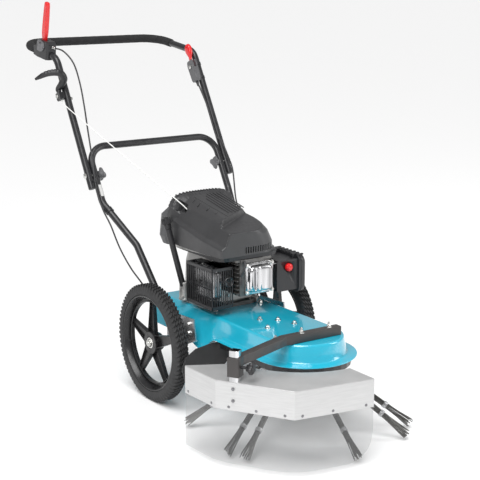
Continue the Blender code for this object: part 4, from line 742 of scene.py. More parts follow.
def lobes(shape, centre, axis, levels, count, sides=60):
    """A lobed knob from (distance, radius, depth of the hollows between lobes)."""
    side, up = axes_along(axis)
    axis = Vector(axis).normalized()
    rings = []
    for d, radius, depth in levels:
        ring = []
        for i in range(sides):
            t = 2 * pi * i / sides
            r = radius * (1 - depth * (0.5 - 0.5 * cos(count * t)) ** 0.8)
            ring.append(centre + axis * d + side * (r * cos(t)) + up * (r * sin(t)))
        rings.append(ring)
    shape.rings(rings)


# Brush

def out_from_rotor(angle, radius, height):
    t = radians(angle)
    return Vector((-radius * sin(t), ROTOR_Y - radius * cos(t), height))


def wire_bundle(number, root_angle, tip_angle):
    """One bundle: nineteen single ropes held by a ferrule and two crimp bands, frayed at the tip."""
    draw = Random(100 + number)
    root = out_from_rotor(root_angle, ROOT_R, ROOT_Z)
    tip = out_from_rotor(tip_angle, TIP_R, TIP_Z)
    run = (tip - root).normalized()
    length = (tip - root).length
    side, up = axes_along(run)
    seats = [(0.0, 0.0)] + [(0.0034, 2 * pi * k / 6) for k in range(6)]
    seats += [(0.0067, 2 * pi * (k + 0.25) / 12) for k in range(12)]
    shape = Shape()
    for radius, turn in seats:
        end = length * draw.uniform(0.945, 0.993)
        splay = draw.uniform(0.80, 1.28)
        lean_side, lean_up = draw.uniform(-1, 1), draw.uniform(-1, 1)
        bend = draw.uniform(-0.22, 0.22)
        points = []
        for i in range(23):
            d = lerp(0.010, end, i / 22)
            share = d / length
            loose = smoothstep((share - 0.70) / 0.30) ** 1.3
            belly = sin(pi * smoothstep((share - 0.16) / 0.24)) * 0.0006
            r = radius + belly + loose * radius * 0.80 * splay
            angle = turn + share * 0.9 + bend * loose
            points.append(root + run * d + side * (r * cos(angle) + lean_side * loose * 0.0022)
                          + up * (r * sin(angle) + lean_up * loose * 0.0022))
        shape.tube(points, WIRE_R, 6, up)
    shape.make(f"wire_ropes_{number}", WIRE, "rotor", "steel", [f"wire_bundle_{number}"])
    bands = Shape()
    r = BAND_R - 0.0004
    for middle, half in ((0.022, 0.0175), (0.40 * length, 0.0058), (0.68 * length, 0.0058)):
        profile = [(middle - half, r - .0012), (middle - half + .0005, r), (middle - half * .35, r + .0003),
                   (middle + half * .35, r + .0003), (middle + half - .0005, r), (middle + half, r - .0012)]
        if half > 0.01:     # the ferrule, which starts at the hub's socket
            profile[0] = (0.0052, r - .0012)
            profile[1] = (0.0058, r)
        bands.turn([(profile[0][0], r - .0028)] + profile + [(profile[-1][0], r - .0028)], root, run, 20,
                   closed=True)
    bands.make(f"crimp_bands_{number}", STEEL, "rotor", "steel")


# Handle

def lean(distance, x=0.0):
    """A point on a leg of the handle, at a distance above the joint."""
    return Vector((x, JOINT_Y + distance * sin(LEAN), JOINT_Z + distance * cos(LEAN)))


def mirrored(points):
    return points + [Vector((-p.x, p.y, p.z)) for p in reversed(points)]


def crossing(before, after, y):
    """The point between two others that is at y."""
    return before.lerp(after, (y - before.y) / (after.y - before.y))


def handles():
    """The two bent tubes and their end plugs."""
    right = [Vector((-0.1765, -0.040, 0.205)), KNEE, lean(WAIST_AT, -LEG_X), lean(0.094, -LEG_X)]
    lower = rounded_path(mirrored(right), (0.055, 0.060, 0.060, 0.060, 0.060, 0.055), 14)
    bend = lean(LEG_UP, -UPPER_X)
    corner = bend + Vector((0, BACK * cos(RISE), BACK * sin(RISE)))
    upper = rounded_path(mirrored([lean(FOOT_AT, -UPPER_X), bend, corner]), (0.055, 0.070, 0.070, 0.055), 14)
    for points, name, body in ((lower, "lower_handle", "chassis"), (upper, "upper_handle", "upper_handle")):
        tube = Shape()
        tube.tube(points, TUBE_R, 24, bore=TUBE_R - TUBE_WALL)
        tube.make(name + "_tube", BLACK, body, "black_paint", [name], angle=40)
    plugs = Shape()
    for side in (-1, 1):
        end = lean(FOOT_AT, side * UPPER_X)
        run = (lean(0) - lean(1)).normalized()
        plugs.turn([(-.010, 0), (-.010, .0091), (.0003, .0091), (.0003, .0108), (.0022, .0104),
                    (.0030, .0080), (.0030, 0)], end, run, 24)
    plugs.make("upper_handle_plugs", PLASTIC, "upper_handle", "black_plastic")
    foam_grip(upper)


def foam_grip(points):
    """The foam sleeve on the upper tube's cross bar, slightly uneven and rounded at its ends."""
    held = [i for i, p in enumerate(points) if p.y > FOAM_Y]
    first, last = held[0], held[-1]
    start = crossing(points[first - 1], points[first], FOAM_Y)
    stop = crossing(points[last + 1], points[last], FOAM_Y)
    path = dense([start] + [points[i] for i in held] + [stop], 0.004)
    total = sum((b - a).length for a, b in zip(path, path[1:]))
    radii, gone = [], 0.0
    for i, p in enumerate(path):
        if i:
            gone += (p - path[i - 1]).length
        edge = min(gone, total - gone)
        swell = 0.00012 * sin(gone * 190) + 0.00008 * sin(gone * 410 + 1)
        rounding = 0.0022 * max(0.0, 1 - edge / 0.005) ** 2
        radii.append(FOAM_R - 0.0004 - rounding + swell * min(1.0, edge / 0.01))
    foam = Shape()
    foam.tube(path, radii, 28, bore=TUBE_R + 0.0002)
    sleeve = foam.make("foam_sleeve", FOAM, "upper_handle", "foam", ["foam_grip"], angle=60)


def tube_fittings():
    """The cable clip below the right joint and the blank label above it."""
    waist = lean(WAIST_AT, -LEG_X)
    run = (KNEE - waist).normalized()
    spot = waist + run * 0.034
    cable = Vector((-0.252, 0.256, 0.5415))
    clip = Shape()
    clip.band(-.007, .007, TUBE_R + .0022, spot, run, 28, TUBE_R + .0002)
    towards = (cable - spot).normalized()
    clip.bar(spot + towards * (TUBE_R + .0016), cable - towards * .0030, .0050, .0026, up=run, bevel=.001)
    clip.bolt(spot + Vector((.6, -.8, .1)).normalized() * (TUBE_R + .0020), (.6, -.8, .1), .0070, .0030)
    clip.make("leg_cable_clip", PLASTIC, "chassis", "black_plastic")
    label = Shape()
    facing = radians(35)
    rings = []
    for d in (-0.036, -0.046, -0.056, -0.066, -0.074):
        ring = []
        for r, turns in ((TUBE_R + .0006, range(9)), (TUBE_R + .0001, range(8, -1, -1))):
            for k in turns:
                t = facing + radians(-55 + 110 * k / 8)
                ring.append(lean(d, -LEG_X) + LEG_FRONT * (r * cos(t)) + X * (r * sin(t)))
        rings.append(ring)
    label.rings(rings)
    label.make("leg_label", LABEL, "chassis", None)


def dense(points, step):
    """The same path with points no further apart than step."""
    found = [points[0]]
    for a, b in zip(points, points[1:]):
        count = max(1, round((b - a).length / step))
        found += [a.lerp(b, k / count) for k in range(1, count + 1)]
    return found


def handle_knob(side, name):
    """The three-winged knob inside the joint and its bolt."""
    centre = lean(0, side * LEG_X)
    start = TUBE_R + GAP
    knob = Shape()
    levels = ((0, .0110, 0), (.0008, .0125, 0), (.0062, .0125, 0), (.0086, .0165, .25), (.0100, .0225, .46),
              (.0114, .0240, .50), (.0150, .0240, .50), (.0166, .0222, .46), (.0178, .0165, .3),
              (.0182, .0060, 0))
    lobes(knob, centre, Vector((-side, 0, 0)), [(start + d, radius, depth) for d, radius, depth in levels], 3)
    knob.make(name + "_wing_knob", WING, name + "_handle_knob", "black_plastic", [name + "_handle_knob"])
    outside = UPPER_X - LEG_X + TUBE_R + GAP
    bolt = Shape()
    bolt.band(-start, outside + .001, .004, centre, (side, 0, 0), 16)
    head = [(0, .0095), (.0018, .0093), (.0038, .0072), (.0050, .0040), (.0054, 0)]
    bolt.turn([(outside + d, radius) for d, radius in head], centre, (side, 0, 0), 28)
    bolt.make(name + "_joint_bolt", BOLT, name + "_handle_knob", "chrome")


# Engine

def pulse(value, centre, half, soft):
    """One inside a band and nought outside it, with soft edges."""
    return smoothstep((half + soft / 2 - abs(value - centre)) / soft)


def blend_step(t):
    """Smoothstep for arrays."""
    t = np.clip(t, 0.0, 1.0)
    return t * t * (3 - 2 * t)


def panel_z(y):
    """The height of the raised top panel, which falls towards the front."""
    return 0.590 + 0.19 * y


def step_y(x):
    """Where the raised panel ends and the lower nose begins."""
    return -0.112 + 0.55 * x


def cover_depth(x, y, z):
    """How far inside the cover a point is, less than nought outside. The faces meet in soft edges."""
    crease = 0.518 + 0.1925 * y
    left = -0.127 + 0.010 * blend_step((-0.09 - y) / 0.11) + 0.013 * blend_step((z - crease) / 0.013)
    left = left + 0.42 * np.maximum(0.0, z - crease - 0.013)
    shoulder = 0.568 + 0.154 * y + 0.65 * (x + 0.10)
    nose = 0.550 + 0.235 * (y + 0.11) - 4.0 * np.maximum(0.0, x - 0.045) ** 2
    raised = blend_step((y - step_y(x)) / 0.004)
    roof = nose + (panel_z(y) - nose) * raised
    right = np.minimum(np.minimum(0.104, 0.345 + 0.05 * (y + 0.12) - 0.5 * z), 0.603 + 0.233 * (y + 0.12) - z)
    lip = 0.010 * blend_step((0.468 - z) / 0.010)
    front_x, front_y = np.minimum(np.minimum(0.104, 0.345 - 0.5 * z), 0.603 - z) - 0.09 + lip, -0.113
    corner = 0.09 - np.hypot(np.maximum(0.0, x - front_x), np.maximum(0.0, front_y - y))
    faces = [x - left, (shoulder - z) * 0.84, (roof - z) * 0.98, right + lip * 0.5 - x, y + 0.203, corner,
             COVER_REAR - y, (0.185 - x - y) * 0.71 - 0.012, (x + 0.222 - y * 0.8) * 0.78 - 0.012]
    body = -np.logaddexp.reduce([-EDGE_K * face for face in faces], axis=0) / EDGE_K
    across, up = np.abs(x - HOOP_X) / HOOP_HALF_X, np.abs(z - HOOP_Z) / HOOP_HALF_Z
    arch = 1 - (across ** HOOP_POWER + up ** HOOP_POWER) ** (1 / HOOP_POWER)
    hoop = np.minimum.reduce([arch * 0.10, y - 0.054, COVER_REAR - y])
    return np.maximum(body, hoop)


def cover_skin(around, up_steps):
    """Directions from the eye in rings from the lower rim to the crown, and how far the cover reaches."""
    turn = np.linspace(0, 2 * pi, around, endpoint=False)[None, :]
    lift = (np.linspace(0, 1, up_steps + 1)[:-1] * pi / 2)[:, None]
    ahead = np.stack([np.cos(turn) * np.cos(lift), np.sin(turn) * np.cos(lift), np.sin(lift) + 0 * turn])
    eye = np.array(COVER_EYE)[:, None, None]
    reach = np.full(ahead.shape[1:], 0.05)
    for distance in np.linspace(0.05, 0.26, 211):
        reach = np.where(cover_depth(*(eye + ahead * distance)) > 0, distance, reach)
    low, high = reach, reach + 0.001
    for _ in range(12):
        middle = (low + high) / 2
        inside = cover_depth(*(eye + ahead * middle)) > 0
        low, high = np.where(inside, middle, low), np.where(inside, high, middle)
    return eye, ahead, low


def drawn_in(reach, margin, step):
    """The reach of a lining that stays inside the skin between every step-th sample."""
    near = np.minimum.reduce([np.roll(reach, k, axis=1) for k in range(-step, step + 1)])
    rows = np.arange(len(near))
    near = np.minimum.reduce([near[np.clip(rows + k, 0, len(near) - 1)] for k in range(-step, step + 1)])
    return near[::step] - margin


def cover_rings(eye, ahead, reach):
    """Rings of points at a reach along directions from the eye."""
    points = np.moveaxis(eye + ahead * reach, 0, -1)
    return [[Vector(p) for p in ring.tolist()] for ring in points]


def engine_cover():
    """The cover as one hollow moulding, with its vents and slots cut out, and the ribs that stand on it."""
    eye, ahead, reach = cover_skin(300, 120)
    lining_step = 6
    crown = Vector((COVER_EYE[0], COVER_EYE[1], panel_z(COVER_EYE[1]) - 0.0008))
    outer = cover_rings(eye, ahead, reach) + [[crown]]
    inner = cover_rings(eye, ahead[:, ::lining_step], drawn_in(reach, 0.0045, lining_step))
    shape = Shape()
    shape.rings([[crown - Z * 0.0075]] + inner[::-1] + outer, caps=False)
    cover = shape.make("engine_cover", SHROUD, None, "shroud_plastic", ["engine_shroud"], angle=50)
    tool = Shape()
    tool.stack([(.010, -.1180, -.0800, .5520, .5700, .008), (.020, -.1200, -.0820, .5540, .5780, .010),
                (.050, -.1220, -.0860, .5580, .5860, .010)], axis="y")
    for k in range(13):
        x = -0.034 + 0.0086 * k
        tool.box((x, -0.245, 0.4635), (x + 0.0046, -0.120, 0.4820), 0.0004)
    for k in range(9):
        tool.box((0.085, -0.110 + 0.0125 * k, 0.462), (0.125, -0.1040 + 0.0125 * k, 0.4800), 0.0004)
    for x, y in ((-.0700, .0150), (-.0740, -.0180), (-.0700, -.0620), (-.0660, -.1020)):
        z = panel_z(y)
        tool.bar((x - .0085, y - .002, z), (x + .0085, y + .004, z), .0019, .020)
    carve(cover, tool.make("cover_cutter", SHROUD, None, None))
    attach(cover, "chassis")

    ribs = Shape()
    for x, rear, front in ((.030, .045, .012), (.018, .045, .004), (.006, .045, .002), (-.006, .045, .004),
                           (-.018, .030, .012), (-.030, .010, .020)):
        ends = [Vector((x, y, panel_z(y) + 0.0004)) for y in (rear, step_y(x) + front)]
        ribs.bar(*ends, .0021, .0016, bevel=.0009)
    for edge, sunk in ((((.0420, .046), (.0405, 0), (.0385, step_y(.0385) + .004)), 0),
                       (((-.058, .035), (-.056, -.03), (-.050, step_y(-.050) + .006)), .0004)):
        ribs.tube([Vector((x, y, panel_z(y) - sunk)) for x, y in edge], .0016, 8, Z)
    for k in range(18):
        t = radians(44 + 92 * k / 17)
        u, v = squircle(t, HOOP_HALF_X, HOOP_HALF_Z, HOOP_POWER)
        p = Vector((HOOP_X - u, 0.0, HOOP_Z + v))
        out = Vector((-cos(t), 0, sin(t))).normalized() if abs(cos(t)) > .8 else Z
        ribs.bar(p + Y * .0665 + out * .0006, p + Y * .0792 + out * .0006, .0024, .0022, up=out, bevel=.0008)
    ribs.make("cover_ribs", SHROUD, "chassis", "shroud_plastic")


def carve(obj, cutter):
    """Cuts a shape out of a piece and keeps the result as the piece's mesh."""
    modifier = obj.modifiers.new("carve", "BOOLEAN")
    modifier.operation = "DIFFERENCE"
    modifier.solver = "EXACT"
    modifier.object = cutter
    bpy.context.view_layer.update()
    ready = bpy.data.meshes.new_from_object(obj.evaluated_get(bpy.context.evaluated_depsgraph_get()))
    obj.modifiers.clear()
    obj.data = ready
    obj.data.name = obj.name
    bpy.data.objects.remove(cutter)


def valve_cover():
    """The polished cover: a waisted flange, a domed middle with flutes and four bolts."""
    cx, cz = 0.017, 0.385
    # (y, half width, half height, how far the waist draws in, squareness)
    levels = ((-.1963, .0510, .0470, .05, 7), (-.1995, .0510, .0470, .05, 7), (-.2002, .0500, .0460, .05, 7),
              (-.2005, .0440, .0410, .02, 5.5), (-.2022, .0425, .0398, .02, 5.5),
              (-.2085, .0405, .0385, .01, 5.5), (-.2125, .0392, .0374, .01, 5.2),
              (-.2148, .0366, .0352, .01, 5), (-.2160, .0330, .0322, .01, 4.6), (-.2164, .0250, .0250, 0, 4),
              (-.2166, .0120, .0120, 0, 3))
    rings = []
    for depth, half_x, half_z, waist, power in levels:
        ring = []
        for i in range(96):
            x, z = squircle(2 * pi * i / 96, half_x, half_z, power)
            x *= 1 - waist * (1 - min(1, abs(z) / half_z) ** 2)
            flute = 0.0016 * pulse(x, -0.022, 0.004, 0.003) + 0.0012 * pulse(x, -0.006, 0.0022, 0.002)
            y = depth + (flute if depth < -0.2155 else 0)
            ring.append(Vector((cx + x, y, cz + z)))
        rings.append(ring)
    shape = Shape()
    shape.rings(rings)
    shape.make("valve_cover_polished", CHROME, "chassis", "chrome", ["valve_cover"], angle=38)
    # Thin raised bars whose dark colour paints the cover's dark vertical reflection bands.
    ribs = Shape()
    for x, half, wide in ((-.0285, .0290, .0008), (-.0235, .0300, .0010), (-.0165, .0305, .0008)):
        ribs.bar((cx + x, -.2160, cz - half), (cx + x, -.2160, cz + half), wide, .0010, up=-Y, bevel=.0004)
    ribs.make("valve_cover_ribs_painted_dark_bands", DARK_STEEL_AND_PAINTED_SHADE, "chassis", "chrome")
    bolts = Shape()
    for x, z in ((-.0440, .0410), (.0440, .0410), (-.0440, -.0410), (.0440, -.0410)):
        bolts.turn([(0, .0066), (.0022, .0064), (.0026, .0058), (.0026, 0)], (cx + x, -.1998, cz + z), -Y, 24)
        bolts.bolt((cx + x, -.2022, cz + z), -Y, .0080, .0042, turn=x * 30)
    bolts.make("valve_cover_bolts", BOLT, "chassis", "chrome")


def muffler_parts():
    """The slatted guard, as bars between a top plate, a floor and corner posts, with the muffler inside."""
    x0, x1, y0, y1, z0, z1 = -0.136, -0.0822, -0.180, -0.040, 0.302, 0.426
    front_x, step = -0.0622, -0.094
    cage = Shape()
    cage.box((x0, y0, z0), (x0 + .0025, y1, z0 + .010))
    cage.box((x0, y0, z1 - .010), (x0 + .0025, y1, z1 - .0005))
    cage.box((x0, y0, z0), (front_x, y0 + .0025, z0 + .010))
    cage.box((x0, y0, z1 - .010), (front_x, y0 + .0025, z1 - .0005))
    cage.box((x0 + .001, y0 + .001, z0), (front_x, step, z0 + .0022))
    cage.box((x0 + .0260, y0 + .001, z1 - .0032), (front_x, step, z1 - .0006), .0010)
    cage.box((front_x - .0026, y0, z0), (front_x, y0 + .0030, z1 - .0005))
    cage.box((x0, y1 - .0025, z0), (x1, y1, z1 - .0005))
    cage.box((x0 + .001, y0 + .001, z0), (x1, y1 - .001, z0 + .0022))
    for k in range(15):
        y = y0 + .0022 + (y1 - y0 - .0070) * k / 14
        cage.box((x0 + .0002, y, z0 + .004), (x0 + .0026, y + .0027, z1 - .004), .0008)
    for k in range(10):
        x = x0 + .002 + (front_x - x0 - .0060) * k / 9
        cage.box((x, y0 + .0002, z0 + .004), (x + .0027, y0 + .0026, z1 - .004), .0008)
    middle = (z0 + z1) / 2
    cage.box((x0 + .0002, y0 + .002, middle - .002), (x0 + .0022, y1 - .002, middle + .001), .0008)
    for k in range(5):
        y = y0 + .003 + (y1 - y0 - .010) * k / 4
        cage.box((x0 + .001, y, z1 - .0030), (x0 + .030, y + .0045, z1 - .0004), .0008)
    cage.box((x0 + .0008, y0 + .001, z1 - .0032), (x0 + .0065, y1 - .001, z1), .0010)
    cage.box((x0 + .0260, y0 + .001, z1 - .0032), (x1, y1 - .001, z1 - .0006), .0010)
    cage.make("muffler_guard_bars", BLACK, "chassis", "black_paint", ["muffler_guard"])
    outlet, mouth, ahead = Shape(), (-.0770, y0 + .0008, .381), (0, -1, 0)
    outlet.turn([(-.001, .0118), (-.001, .0158), (.0032, .0158), (.0044, .0146), (.0044, .0130),
                 (.0032, .0118)], mouth, ahead, 36, closed=True)
    outlet.make("exhaust_outlet_ring", BLACK, "chassis", "black_paint")
    pipe = Shape()
    pipe.band(-.024, -.0012, .0114, mouth, ahead, 32, .0098)
    pipe.make("exhaust_outlet_pipe", STEEL, "chassis", "steel")
    body = Shape()
    levels = ((-.1215, .010, .016), (-.1195, .005, .018), (-.1165, .002, .020), (-.1062, .002, .020),
              (-.1060, 0, .021), (-.1040, 0, .021), (-.1038, .002, .020), (-.0940, .002, .020),
              (-.0900, .005, .018), (-.0882, .010, .016))
    body.stepped((-.168, -.050, .322, .416), levels, "x")
    body.band(-0.096, -0.0503, 0.011, (0, -0.138, 0.385), X, 20)
    body.make("muffler_body", STEEL, "chassis", "aluminium", ["muffler"])


def air_filter():
    """The filter box, its ribbed cover with clips, and the primer bulb's collar."""
    base = Shape()
    levels = ((-.1900, .0005, .005), (-.1905, 0, .005), (-.0615, 0, .005), (-.0610, .0005, .005))
    base.stepped((.0880, .1650, .3260, .4210), levels, "y")
    for k in range(6):
        y = -.180 + .020 * k
        base.box((.104, y, .4195), (.163, y + .004, .4245), .001)
    for k in range(5):
        base.box((.092, -.178 + .024 * k, .3225), (.160, -.175 + .024 * k, .3275), .0008)
    box = base.make("air_filter_housing", PLASTIC, None, "black_plastic", ["air_filter_base"])
    pocket = Shape()
    pocket.band(-.010, .010, .0128, (.130, -.191, .398), Y, 40)
    carve(box, pocket.make("pocket_cutter", PLASTIC, None, None))
    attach(box, "chassis")
    cover = Shape()
    levels = ((.1653, .0005, .017), (.1660, 0, .018), (.1720, 0, .018), (.1726, .0008, .018),
              (.1738, .0008, .018), (.1744, 0, .018), (.1830, 0, .020), (.1880, .0018, .020),
              (.1918, .0055, .020), (.1945, .0105, .018), (.1960, .0170, .016))
    cover.stepped((-.1970, -.0570, .3140, .4290), levels, "x", 10)
    cover.make("air_filter_lid", PLASTIC, "chassis", "black_plastic", ["air_filter_cover"])
    trim = Shape()
    for k in range(7):
        y = -.186 + .0185 * k
        trim.box((.1663, y, .4270), (.1900 - .001 * (k % 2), y + .0085, .4322), .0012)
    for y in (-.168, -.086):
        trim.box((.1560, y - .009, .4200), (.1700, y + .009, .4335), .0018)
    trim.make("air_filter_ribs", PLASTIC, "chassis", "black_plastic")
    plate = Shape()
    plate.box((.0640, -.1880, .4140), (.1180, -.1300, .4155), .0004)
    for x, y in ((.0760, -.1780), (.1000, -.1500)):
        plate.bolt((x, y, .4155), Z, .008, .004, washer=.0065)
    plate.make("filter_bracket", STEEL, "chassis", "steel")


def engine_details():
    """Small parts round the cylinder: the plug lead, the flange's bolts, a baffle and the head's fins."""
    lead = Shape()
    route = [(-.036, -.188, .444), (-.038, -.205, .436), (-.044, -.211, .420), (-.049, -.205, .404),
             (-.050, -.199, .394)]
    lead.tube(smooth_route(route, 8), .0034, 12)
    lead.turn([(0, 0), (0, .0054), (.010, .0060), (.020, .0052), (.024, .0038), (.024, 0)],
              (-.0510, -.2035, .372), (0.05, .15, 1), 20)
    lead.make("spark_plug_lead", RUBBER, "chassis", "black_rubber")
    bolts = Shape()
    for x, y in ((-.088, -.074), (.088, -.074), (-.088, .062), (.088, .062)):
        bolts.bolt((x, y, .290), Z, .0115, .0065, washer=.009, turn=x)
    for x in (-.066, -.020, .030, .072):
        bolts.bolt((x, -.0905, .312), -Y, .0085, .004)
    bolts.make("engine_flange_bolts", BOLT, "chassis", "chrome")
    baffle = Shape()
    baffle.stack([(z, -.062, .068, -.196, -.110, .010) for z in (.437, .4445)])
    baffle.box((-.048, -.1995, .4340), (.030, -.1960, .4450), .001)
    baffle.make("cylinder_baffle", DARK_CAST_AND_PAINTED_SHADE, "chassis", "aluminium")
    fins = Shape()
    for k in range(8):
        z = .342 + .0125 * k
        fins.box((-.058, -.1945, z), (.064, -.120, z + .0030), .0008)
    fins.make("cylinder_head_fins", DARK_CAST_AND_PAINTED_SHADE, "chassis", "aluminium")


def filler():
    """The oil filler's tube and collar, with the ribbed dipstick cap on it."""
    foot, top = Vector((-0.1190, 0.012, 0.345)), Vector((-0.1450, 0.052, 0.520))
    run = (top - foot).normalized()
    length = (top - foot).length
    tube = Shape()
    tube.turn([(-.012, 0), (-.012, .0092), (0, .0092), (length - .016, .0090), (length - .014, .0108),
               (length - .002, .0108), (length, .0102), (length, .0066), (.002, .0066), (.002, 0)],
              foot, run, 28)
    tube.make("oil_filler_tube", PLASTIC, "chassis", "black_plastic", ["dipstick_tube"])
    boss = Shape()
    boss.turn([(.2905, 0), (.2905, .0180), (.2945, .0182), (.2960, .0170), (.3380, .0158), (.3440, .0154),
               (.3452, .0145), (.3452, 0)], (-.110, .012, 0), Z, 40)
    boss.box((-.1120, .002, .296), (-.0815, .022, .332), .002)
    boss.bolt((-.1245, .004, .3000), (-1, -.6, 0), .008, .004, washer=.0065)
    boss.make("oil_filler_boss", CAST, "chassis", "aluminium")
    cap = Shape()
    side, up = axes_along(run)
    rings = []
    for d, radius, groove in ((.0004, .0120, 0), (.0012, .0142, 0), (.0030, .0146, .0011),
                              (.0150, .0144, .0011), (.0175, .0136, .0011), (.0182, .0110, 0),
                              (.0186, .0040, 0)):
        ring = []
        for i in range(96):
            t, r = 2 * pi * i / 96, radius - (groove if i % 4 < 2 else 0)
            ring.append(top + run * d + side * (r * cos(t)) + up * (r * sin(t)))
        rings.append(ring)
    cap.rings(rings)
    face = top + run * .0186
    cap.bar(face - side * .0105, face + side * .0105, .0022, .0026, up=run, bevel=.001)
    cap.turn([(-.150, 0), (-.150, .002), (-.004, .002), (-.004, .0058), (.0004, .0058)], top, run, 16)
    cap.make("dipstick_cap", PLASTIC, "dipstick", "black_plastic", ["dipstick"])


# Controls

def clamp_frame():
    """The lever clamp's place on the right side run, with the directions along the tube and up from it."""
    bend = lean(LEG_UP)
    at = Vector((-UPPER_X, CLAMP_Y, bend.z + (CLAMP_Y - bend.y) * tan(RISE)))
    return at, Vector((0, cos(RISE), sin(RISE))), Vector((0, -sin(RISE), cos(RISE)))


def adjuster_end():
    """Where the clutch cable leaves the lever clamp."""
    at, rise, up = clamp_frame()
    return at + rise * (-0.058 - GAP) + up * 0.027


def clutch_control():
    """The red lever and the clamp's plates, screws and cable fitting."""
    at, rise, up = clamp_frame()
    pivot = at + up * 0.034
    lean_forward, across = Vector((0, -0.25, 1)).normalized(), Vector((0, 1, 0.25)).normalized()
    levels = ((-.0068, .0060, .0040), (-.0060, .0082, .0047), (-.0030, .0098, .0050), (.012, .0118, .0058),
              (.028, .0132, .0076), (.050, .0130, .0080), (.090, .0116, .0077), (.120, .0102, .0072),
              (.1275, .0094, .0066), (.1302, .0080, .0055), (.1310, .0060, .0040))
    rings = []
    for d, half_y, half_x in levels:
        ring = []
        for i in range(40):
            u, v = squircle(2 * pi * i / 40, half_x, half_y, 4)
            if 0.02 < d < 0.124:
                u -= 0.0014 * (1 if u > 0 else -1) * pulse(v, 0, half_y * 0.55, 0.003)
            ring.append(pivot + lean_forward * d + X * u + across * v)
        rings.append(ring)
    lever = Shape()
    lever.rings(rings)
    lever.make("clutch_lever_blade", RED, "clutch_lever", "red_plastic", ["clutch_lever"], angle=40)
    plates, thick = Shape(), 0.0012
    outline = [(.000, .004), (.018, .006), (.018, .030), (.012, .041), (-.008, .0425), (-.030, .038),
               (-.036, .024), (-.020, .008)]
    for s in (-1, 1):
        x = at + X * (s * 0.0164)
        plates.rings([[x + X * (s * w) + rise * a + up * b for a, b in outline] for w in (0.0, thick)])
        plates.bolt(x + X * (s * thick) + up * 0.034, (s, 0, 0), .0085, .0040, washer=.0062)
        plates.bolt(x + X * (s * thick) + rise * -0.026 + up * 0.020, (s, 0, 0), .0070, .0030, washer=.0054)
    plates.make("clamp_plates", DARK_STEEL_AND_PAINTED_SHADE, "upper_handle", "steel", angle=30)
    fitting, start = Shape(), adjuster_end()
    fitting.turn([(-.004, 0), (-.004, .0050), (.006, .0050), (.0075, .0040), (.018, .0036), (.019, .0028)],
                 start, -rise, 20)
    fitting.bolt(start + rise * 0.0045, -rise, .0110, .0035)
    fitting.make("clutch_cable_adjuster", BOLT, "upper_handle", "chrome")


def throttle_seat():
    """Where the throttle's housing sits, inside the left leg."""
    return lean(THROTTLE_AT, UPPER_X - TUBE_R - 0.0095)


def throttle_control():
    """The red throttle lever, the cap on its pivot and the clips round the leg."""
    at = throttle_seat()
    pivot = at + LEG_RUN * 0.012
    levels = ((-.0045, .0030, .0030), (-.003, .0040, .0036), (.006, .0070, .0036), (.030, .0060, .0036),
              (.036, .0064, .0048), (.044, .0105, .0068), (.054, .0150, .0078), (.066, .0156, .0078),
              (.075, .0128, .0066), (.0800, .0080, .0046), (.0812, .0036, .0022))
    rings = []
    for d, half_front, half_x in levels:
        ring = []
        grooves = 0.0005 * cos(d * 1400) if 0.046 < d < 0.074 else 0
        forward = 0.004 * smoothstep((d - .03) / .01)
        for i in range(32):
            u, v = squircle(2 * pi * i / 32, half_x, half_front, 3.4)
            ring.append(pivot + LEG_RUN * (d + grooves) + X * u + LEG_FRONT * (v + forward))
        rings.append(ring)
    lever = Shape()
    lever.rings(rings)
    lever.make("throttle_lever_blade", RED, "throttle_lever", "red_plastic", ["throttle_lever"], angle=40)
    cap = Shape()
    spot = at - X * 0.0090 + LEG_RUN * 0.012
    cap.turn([(0, .0066), (.0006, .0072), (.0030, .0072), (.0036, .0060), (.0036, 0)], spot, -X, 28)
    cap.make("throttle_pivot_cap", BOLT, "upper_handle", "chrome")
    clips = Shape()
    for d in (-.030, .020):
        spot = lean(THROTTLE_AT + d, UPPER_X)
        clips.band(-.0045, .0045, TUBE_R + .0014, spot, LEG_RUN, 32, TUBE_R + .0004)
    clips.make("throttle_clips", PLASTIC, "upper_handle", "black_plastic")


def starter_handle():
    """The starter grip with grip ribs along its back, and the guide's bolt."""
    seat = lean(GUIDE_AT + 0.0135, GUIDE_X - 0.011)
    turns = ((0.004, -0.010, 0.027), (0.006, -0.022, 0.046), (-0.010, -0.024, 0.064), (-0.042, -0.006, 0.062),
             (-0.074, 0.016, 0.044))
    route = [seat + LEG_RUN * 0.0012, seat + LEG_RUN * 0.012] + [seat + Vector(turn) for turn in turns]
    points = smooth_route(route, 16)
    # radii at equal shares of the way from the root to the tip
    sizes = (.0066, .0080, .0085, .0088, .0090, .0095, .0100, .0105, .0110, .0113, .0115, .0115, .0115, .0115,
             .0114, .0112, .0110, .0106, .0102, .0096, .0090, .0078, .0060, .0036)
    rings = []
    for i, (p, (side, up)) in enumerate(zip(points, path_frames(points, Y))):
        at = i / (len(points) - 1) * (len(sizes) - 1)
        k = min(int(at), len(sizes) - 2)
        radius = lerp(sizes[k], sizes[k + 1], at - k)
        ridge = 0.0013 * max(0.0, cos(i * 2 * pi / 4)) if 34 < i < 88 else 0.0
        ring = []
        for step in range(28):
            t = 2 * pi * step / 28
            out = side * cos(t) + up * sin(t)
            r = radius - ridge * smoothstep(out.z * 1.6)
            ring.append(p + side * (r * cos(t)) + up * (r * sin(t)))
        rings.append(ring)
    grip = Shape()
    grip.rings(rings)
    grip.make("starter_grip_moulding", PLASTIC, "starter_grip", "black_plastic", ["starter_grip"], angle=45)
    bolt = Shape()
    bolt.turn([(0, .0052), (.004, .0052), (.0055, .0035), (.0055, 0)], lean(0.262, -UPPER_X + TUBE_R), X, 20)
    bolt.bolt(lean(GUIDE_AT, GUIDE_X - .0215), -X, .0080, .0035, washer=.0062)
    bolt.make("rope_guide_bolt", BOLT, "upper_handle", "chrome")


